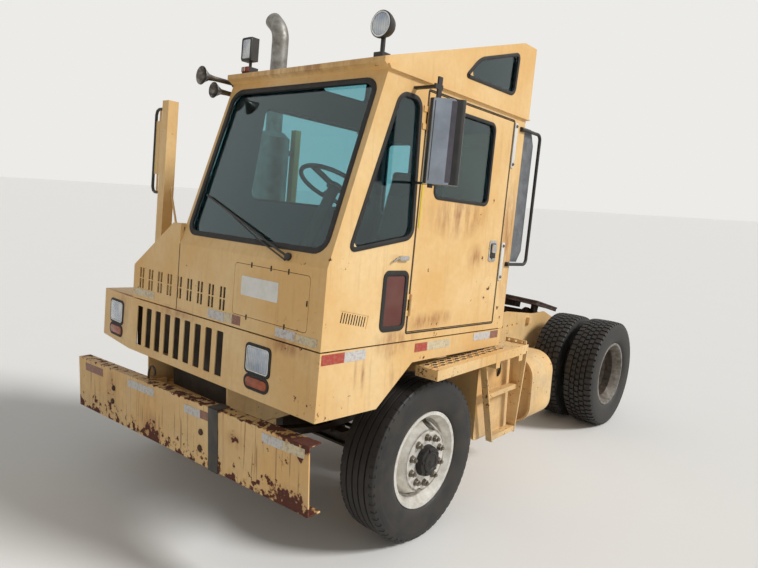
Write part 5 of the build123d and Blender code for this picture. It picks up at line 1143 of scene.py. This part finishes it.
class TRACTOR_OT_plank_grip(bpy.types.Operator):
    """Raise rims round the plank's grip holes, fill the holes with black painted shade over a dark sheet of
    painted shade, and fit the filler's cap and pipe
    """

    bl_idname = "tractor.plank_grip"
    bl_label = "Plank grip"

    def execute(self, context):
        top = face_on(GROUND, (0, 0, PLANK_Z), (1, 0, 0), (0, 1, 0), (0, 0, 1))
        # A dark sheet under the plank: painted shade seen through the grip holes
        parts = [(block((-700, 1150, -14), (108, 1290, -8), 1), top, "window_rubber")]
        for y, shift in GRIP_ROWS:
            for x in GRIP_X:
                at = x + shift
                if at < GRIP_END:
                    corners = [(at - GRIP_LONG, y), (at, y - GRIP_WIDE),
                               (at + GRIP_LONG, y), (at, y + GRIP_WIDE)]
                    parts.append((ring(corners, 0, 5, 0.5, -0.5, 5, 1.5), top, "step_enamel"))
                    # A black lozenge in each hole: painted shade
                    parts.append((plate(grown(corners, 1), 0, 1, 5.4), top, "window_rubber"))
        assemble("plank_grip", "chassis", parts)
        cap = moved(lathe([(40, 8), (40, 34), (34, 42), (0, 43)], 24), FILLER_CAP)
        parts = [(shape, GROUND, "black_moulding") for shape in (cap, tube(FILLER_PIPE, 10))]
        assemble("filler_cap", "chassis", parts)
        return {"FINISHED"}


# Horns: the mouth's place, height and radius, and where both throats start
HORNS = ((905, 2668, 55), (820, 2600, 48))
THROAT_X = 640
# A bell's section: share of the mouth's radius, and distance behind the mouth
BELL = [(0.36, 52), (0.6, 30), (0.84, 11), (1, 2), (1, 0), (0.8, 11), (0.56, 30), (0.3, 54)]


class TRACTOR_OT_horns(bpy.types.Operator):
    """Turn the two trumpet horns with open mouths"""

    bl_idname = "tractor.horns"
    bl_label = "Horns"

    def execute(self, context):
        parts = []
        for mouth, z, radius in HORNS:
            y = -57 - radius
            along = facing_front(CAB, (0, y, z))
            bell = [(0, THROAT_X), (13, THROAT_X), (15, mouth - 90)]
            bell += [(share * radius, mouth - back) for share, back in BELL]
            bell += [(10, mouth - 90), (0, mouth - 92)]
            parts.append((lathe(bell, 36), along, "aged_chrome"))
            parts.append((block((660, y, z - 10), (685, -47, z + 10), 2), CAB, "chassis_iron"))
            clamp = moved(lathe([(18, -16), (22, -12), (22, 12), (18, 16)], 24), (0, 0, THROAT_X + 20))
            parts.append((clamp, along, "chassis_iron"))
        piece = assemble("horn_pair", "cab", parts)
        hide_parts("horns")
        return {"FINISHED"}


class TRACTOR_OT_roof_lamps(bpy.types.Operator):
    """Shell and glaze the two lamps on the roof"""

    bl_idname = "tractor.roof_lamps"
    bl_label = "Roof lamps"

    def execute(self, context):
        work = facing_front(CAB, (698, 1105, 2872))
        box = facing_front(CAB, (700, 0, 0))
        shell = [(0, -80), (30, -74), (50, -52), (63, -24), (67, -8), (67, 4), (62, 7), (57, 3), (55, -2)]
        parts = [
            (lathe(shell, 40), work, "black_moulding"),
            (lathe([(60, 3), (62, 7), (59, 9), (54, 7), (54, 2)], 40), work, "chrome_plate"),
            (lathe([(56, 1), (52, 6), (30, 11), (0, 12)], 40), work, "lamp_glass"),
            (ring(rect((-4, 2796), (78, 2919)), 10, 6, 6, -4, 5, 2), box, "black_moulding"),
            (plate(rect((2, 2802), (72, 2913)), 8, -1, 4, 2), box, "lamp_glass"),
            (plate(rect((8, 2722), (72, 2752)), 4, 2, 9, 2), box, "brick_red_plastic"),
            (plate(rect((22, 2726), (29, 2748)), 1, 8, 11), box, "white_strip"),
            (plate(rect((37, 2726), (44, 2748)), 1, 8, 11), box, "white_strip"),
        ]
        assemble("roof_lamp_glass", "cab", parts)
        return {"FINISHED"}


class TRACTOR_OT_door_trim(bpy.types.Operator):
    """Add the paddle handle, seals, strips, catch and bolts of the driver's side"""

    bl_idname = "tractor.door_trim"
    bl_label = "Door and side trim"

    def execute(self, context):
        handle = [
            (plate(rect((-480, 1716), (-398, 1850)), 12, 0, 6, 2), LEFT, "chrome_plate"),
            (plate(rect((-468, 1736), (-410, 1832)), 10, 5, 11, 3), LEFT, "black_moulding"),
            (plate(rect((-462, 1770), (-416, 1826)), 9, 10, 22, 5), LEFT, "chrome_plate"),
            (moved(lathe([(9, 0), (9, 8), (7, 10), (0, 10)], 16), (-438, 1729, 5)), LEFT, "chrome_plate"),
            (plate(rect((350, 1890), (363, 2560)), 3, 0, 3, 1), LEFT, "yellow_seal"),
        ]
        assemble("door_handle", "driver_door", handle)
        seal = ring(rect((-536, 1316), (376, 2613)), 6, 9, -1, -0.5, 1.6, 0.5)
        assemble("door_seal", "cab", [(seal, LEFT, "window_rubber")])
        parts = []
        for low, high in ((2323, 2607), (1594, 1841)):
            parts.append((plate(rect((-578, low), (-542, high)), 8, 0, 9, 2), LEFT, "white_strip"))
            for v in (low + 22, high - 22):
                parts.append((moved(hex_nut(16, 7, 5, 9), (-560, v, 9)), LEFT, "zinc_bolt"))
        parts.append((plate(rect((425, 1712), (505, 1738)), 10, 0, 16, 4), LEFT, "chrome_plate"))
        parts.append((tube([(505, 1725, 12), (540, 1722, 20), (560, 1708, 16)], 6), LEFT, "chrome_plate"))
        assemble("side_trim", "cab", parts)
        return {"FINISHED"}


# The left mirror head's turn and middle, and the height of the right loop's middle
HEAD_TURN, HEAD_MIDDLE = math.radians(127), (460, 1385, 2330)
LOOP_Z = 2260


class TRACTOR_OT_mirrors(bpy.types.Operator):
    """Shell the left mirror's head, set glass into both heads and sleeve the right one's loop"""

    bl_idname = "tractor.mirrors"
    bl_label = "Mirrors"

    def execute(self, context):
        across = Vector((math.cos(HEAD_TURN), math.sin(HEAD_TURN), 0))
        out = Vector((math.sin(HEAD_TURN), -math.cos(HEAD_TURN), 0))
        head = face_on(CAB, HEAD_MIDDLE, across, (0, 0, 1), out)
        back = face_on(CAB, HEAD_MIDDLE, across, (0, 0, 1), -out)
        upright = face_on(CAB, HEAD_MIDDLE, across, out, (0, 0, 1))
        shell = [(-91, -31), (91, -31), (91, 8), (76, 25), (18, 35), (-66, 35), (-91, 18)]
        # A darker strip on the facet turned away: painted shade
        painted_shade_facet = [(20, 35.6), (75, 26.2), (74, 22), (19, 31)]
        parts = [
            (ring(rect((-78, -198), (78, 198)), 18, 6, 8, 26, 35, 3), back, "black_moulding"),
            (plate(rect((-72, -192), (72, 192)), 14, 30, 33), back, "mirror_silver"),
            (plate(shell, 5, -212, 212, 7), upright, "mirror_shell"),
            (plate(painted_shade_facet, 0, -200, 200), upright, "mirror_shell_dark"),
            (plate(rect((-64, -196), (-60, 196)), 0, 34, 36.5), head, "black_moulding"),
        ]
        assemble("left_mirror_glass", "cab", parts)
        rear = facing_back(CAB, (600, -1041, 2284))
        low, high = (-46, -186), (46, 186)
        parts = [(ring(rect(low, high), 12, 5, 6, -4, 5, 2), rear, "black_moulding"),
                 (plate(grown(rect(low, high), -3), 10, -2, 2), rear, "mirror_silver")]
        assemble("right_mirror_glass", "chassis", parts)
        upper = [(620, -992, 300), (620, -1060, 300), (620, -1088, 289), (620, -1100, 260)]
        lower = [(x, y, -z) for x, y, z in reversed(upper)]
        loop = moved(tube(upper + lower, 10.9, 12, False), (0, 0, LOOP_Z))
        assemble("right_mirror_loop", "chassis", [(loop, CAB, "black_moulding")])
        return {"FINISHED"}


# The cushions' mesh size in metres, frames of swelling and furthest swell in metres
CUSHION_GRAIN, CUSHION_FRAMES, CUSHION_SWELL = 0.006, 20, 0.012


def settle(piece, cap):
    """Let a cushion swell like stuffed vinyl, no point moving further than cap metres."""
    bpy.context.view_layer.objects.active = piece
    piece.data.remesh_voxel_size = CUSHION_GRAIN
    bpy.ops.object.voxel_remesh()
    rest = [vertex.co.copy() for vertex in piece.data.vertices]
    cloth = piece.modifiers.new("Cloth", "CLOTH")
    cloth.settings.use_pressure = True
    cloth.settings.uniform_pressure_force = 4
    cloth.settings.effector_weights.gravity = 0
    for step in range(1, CUSHION_FRAMES + 1):
        bpy.context.scene.frame_set(step)
    grown_mesh = bpy.data.meshes.new_from_object(
        piece.evaluated_get(bpy.context.evaluated_depsgraph_get()))
    swollen = [vertex.co.copy() for vertex in grown_mesh.vertices]
    piece.modifiers.clear()
    bpy.data.meshes.remove(grown_mesh)
    for vertex, before, after in zip(piece.data.vertices, rest, swollen):
        shift = after - before
        if shift.length > cap:
            shift = shift.normalized() * cap
        vertex.co = before + shift
    bpy.context.scene.frame_set(1)
    bm = bmesh.new()
    bm.from_mesh(piece.data)
    bmesh.ops.smooth_vert(bm, verts=bm.verts, factor=0.5, use_axis_x=True, use_axis_y=True, use_axis_z=True)
    bm.to_mesh(piece.data)
    bm.free()
    piece.data.shade_smooth()


class TRACTOR_OT_seat(bpy.types.Operator):
    """Upholster the driver's seat and stand it on its pedestal"""

    bl_idname = "tractor.seat"
    bl_label = "Driver's seat"

    def execute(self, context):
        base = assemble("seat_base", "cab", [
            (block((-330, 470, 1316), (-50, 730, 1380), 8), CAB, "black_moulding"),
            (block((-320, 480, 1380), (-60, 720, 1560), 14), CAB, "cab_lining"),
            (block((-410, 362, 1556), (60, 838, 1628), 16), CAB, "black_moulding"),
            (block((-392, 400, 1660), (-350, 800, 2250), 14), CAB, "black_moulding"),
        ])
        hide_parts("seat")
        cushion = block((-400, 368, 1628), (52, 832, 1722), 30)
        back = block((-45, 382, 1700), (40, 818, 2262), 30)
        # The back leans back by 15 degrees about its foot
        lean_back = Matrix.Translation((-290, 0, 1700)) @ Matrix.Rotation(math.radians(-15), 4, "Y")
        lean_back = lean_back @ Matrix.Translation((60, 0, -1700))
        for name, shape, plane in (("seat_cushion", cushion, CAB), ("seat_back", back, CAB @ lean_back)):
            piece = assemble(name, "cab", [(shape, plane, "seat_vinyl")])
            settle(piece, CUSHION_SWELL)
        return {"FINISHED"}


# The way the key light shines and its width, and how far the floor reaches in metres
KEY_AIM, KEY_WIDTH = (0.42, -0.85, -0.74), math.radians(14)
FLOOR_REACH = 400
# The camera: place from the front axle's foot in metres, yaw, pitch and roll in radians, and lens in mm
CAMERA_PLACE = (2.97713, 3.269701, 2.0828)
CAMERA_TURNS = (-2.43397012, -0.143911512, 0.0596130879)
CAMERA_LENS = 29.889


class TRACTOR_OT_stage(bpy.types.Operator):
    """Set the floor, the soft lights and the camera"""

    bl_idname = "tractor.stage"
    bl_label = "Stage"

    def execute(self, context):
        settings = context.scene.tractor_stage
        # Sealed pale floor: even, faintly mottled, matt
        tree, shader, place = new_finish("pale_floor")
        tone = ramp(tree, noise(tree, place, 0.8, 5), 0.3, 0.7, 0.0, 0.05)
        surface(tree, shader, blend(tree, tone, settings.floor, linear("#D8D6D2")), 0.8)
        bm = bmesh.new()
        bmesh.ops.create_grid(bm, x_segments=2, y_segments=2, size=FLOOR_REACH)
        floor = bpy.data.objects.new("floor", as_mesh(bm, "floor", ["pale_floor"]))
        context.scene.collection.objects.link(floor)
        world = bpy.data.worlds.new("soft_room")
        context.scene.world = world
        world.use_nodes = True
        tree = world.node_tree
        tree.nodes.clear()
        paths = put(tree, "LightPath")
        seen = times(tree, paths.outputs["Is Camera Ray"], paths.outputs["Is Transmission Ray"], "MAXIMUM")
        seen = times(tree, seen, paths.outputs["Is Glossy Ray"], "MAXIMUM")
        strength = put(tree, "Mix", {2: settings.sky, 3: 1.0}, {0: seen}, data_type="FLOAT")
        air = put(tree, "Background", {"Color": (*settings.floor, 1)}, {"Strength": strength.outputs[0]})
        put(tree, "OutputWorld", links={"Surface": air.outputs[0]})
        data = bpy.data.lights.new("key", "SUN")
        data.energy = settings.key
        data.angle = KEY_WIDTH
        lamp = bpy.data.objects.new("key", data)
        lamp.rotation_euler = Vector(KEY_AIM).to_track_quat("-Z", "Y").to_euler()
        context.scene.collection.objects.link(lamp)
        place_camera(context)
        context.scene.view_settings.view_transform = "Standard"
        return {"FINISHED"}


def place_camera(context):
    """Stand the camera where the photograph was taken from."""
    yaw, pitch, roll = CAMERA_TURNS
    ahead = Vector((math.cos(pitch) * math.cos(yaw), math.cos(pitch) * math.sin(yaw), math.sin(pitch)))
    right = ahead.cross(Vector((0, 0, 1))).normalized()
    up = right.cross(ahead)
    across = right * math.cos(roll) + up * math.sin(roll)
    over = up * math.cos(roll) - right * math.sin(roll)
    data = bpy.data.cameras.new("view")
    data.lens = CAMERA_LENS
    data.sensor_width = 36
    data.clip_end = 200
    camera = bpy.data.objects.new("view", data)
    at = axle_foot() + Vector(CAMERA_PLACE)
    camera.matrix_world = Matrix.Translation(at) @ Matrix((across, over, -ahead)).transposed().to_4x4()
    context.scene.collection.objects.link(camera)
    context.scene.camera = camera


class TRACTOR_PT_dressing(bpy.types.Panel):
    """Settings and steps of the tractor's dressing"""

    bl_idname = "TRACTOR_PT_dressing"
    bl_label = "Terminal tractor"
    bl_space_type = "VIEW_3D"
    bl_region_type = "UI"
    bl_category = "Tractor"

    def draw(self, context):
        for group in (context.scene.tractor_colours, context.scene.tractor_trim, context.scene.tractor_tyres,
                      context.scene.tractor_stage):
            box = self.layout.box()
            for name in group.__annotations__:
                box.prop(group, name)
        for step in OPERATORS:
            self.layout.operator(step.bl_idname)


GROUPS = {"tractor_colours": Colours, "tractor_trim": Trim, "tractor_tyres": Tyres, "tractor_stage": Stage}
OPERATORS = (
    TRACTOR_OT_stage, TRACTOR_OT_finishes, TRACTOR_OT_tyres, TRACTOR_OT_wheel_hubs, TRACTOR_OT_gaskets,
    TRACTOR_OT_front_sheet, TRACTOR_OT_front_lamps, TRACTOR_OT_tail_lamps, TRACTOR_OT_wiper, TRACTOR_OT_tapes,
    TRACTOR_OT_bumper_fittings, TRACTOR_OT_plank_grip, TRACTOR_OT_horns, TRACTOR_OT_roof_lamps,
    TRACTOR_OT_door_trim, TRACTOR_OT_mirrors, TRACTOR_OT_seat,
)


def register():
    for group in GROUPS.values():
        bpy.utils.register_class(group)
    for name, group in GROUPS.items():
        setattr(bpy.types.Scene, name, PointerProperty(type=group))
    for item in (*OPERATORS, TRACTOR_PT_dressing):
        bpy.utils.register_class(item)


def unregister():
    for item in (TRACTOR_PT_dressing, *reversed(OPERATORS)):
        bpy.utils.unregister_class(item)
    for name in GROUPS:
        delattr(bpy.types.Scene, name)
    for group in GROUPS.values():
        bpy.utils.unregister_class(group)


def main():
    """Add the dressing piece by piece."""
    register()
    bpy.ops.tractor.stage()
    bpy.ops.tractor.finishes()
    bpy.ops.tractor.tyres()
    bpy.ops.tractor.wheel_hubs()
    bpy.ops.tractor.gaskets()
    bpy.ops.tractor.front_sheet()
    bpy.ops.tractor.front_lamps()
    bpy.ops.tractor.tail_lamps()
    bpy.ops.tractor.wiper()
    bpy.ops.tractor.tapes()
    bpy.ops.tractor.bumper_fittings()
    bpy.ops.tractor.plank_grip()
    bpy.ops.tractor.horns()
    bpy.ops.tractor.roof_lamps()
    bpy.ops.tractor.door_trim()
    bpy.ops.tractor.mirrors()
    bpy.ops.tractor.seat()


if __name__ == "__main__":
    main()
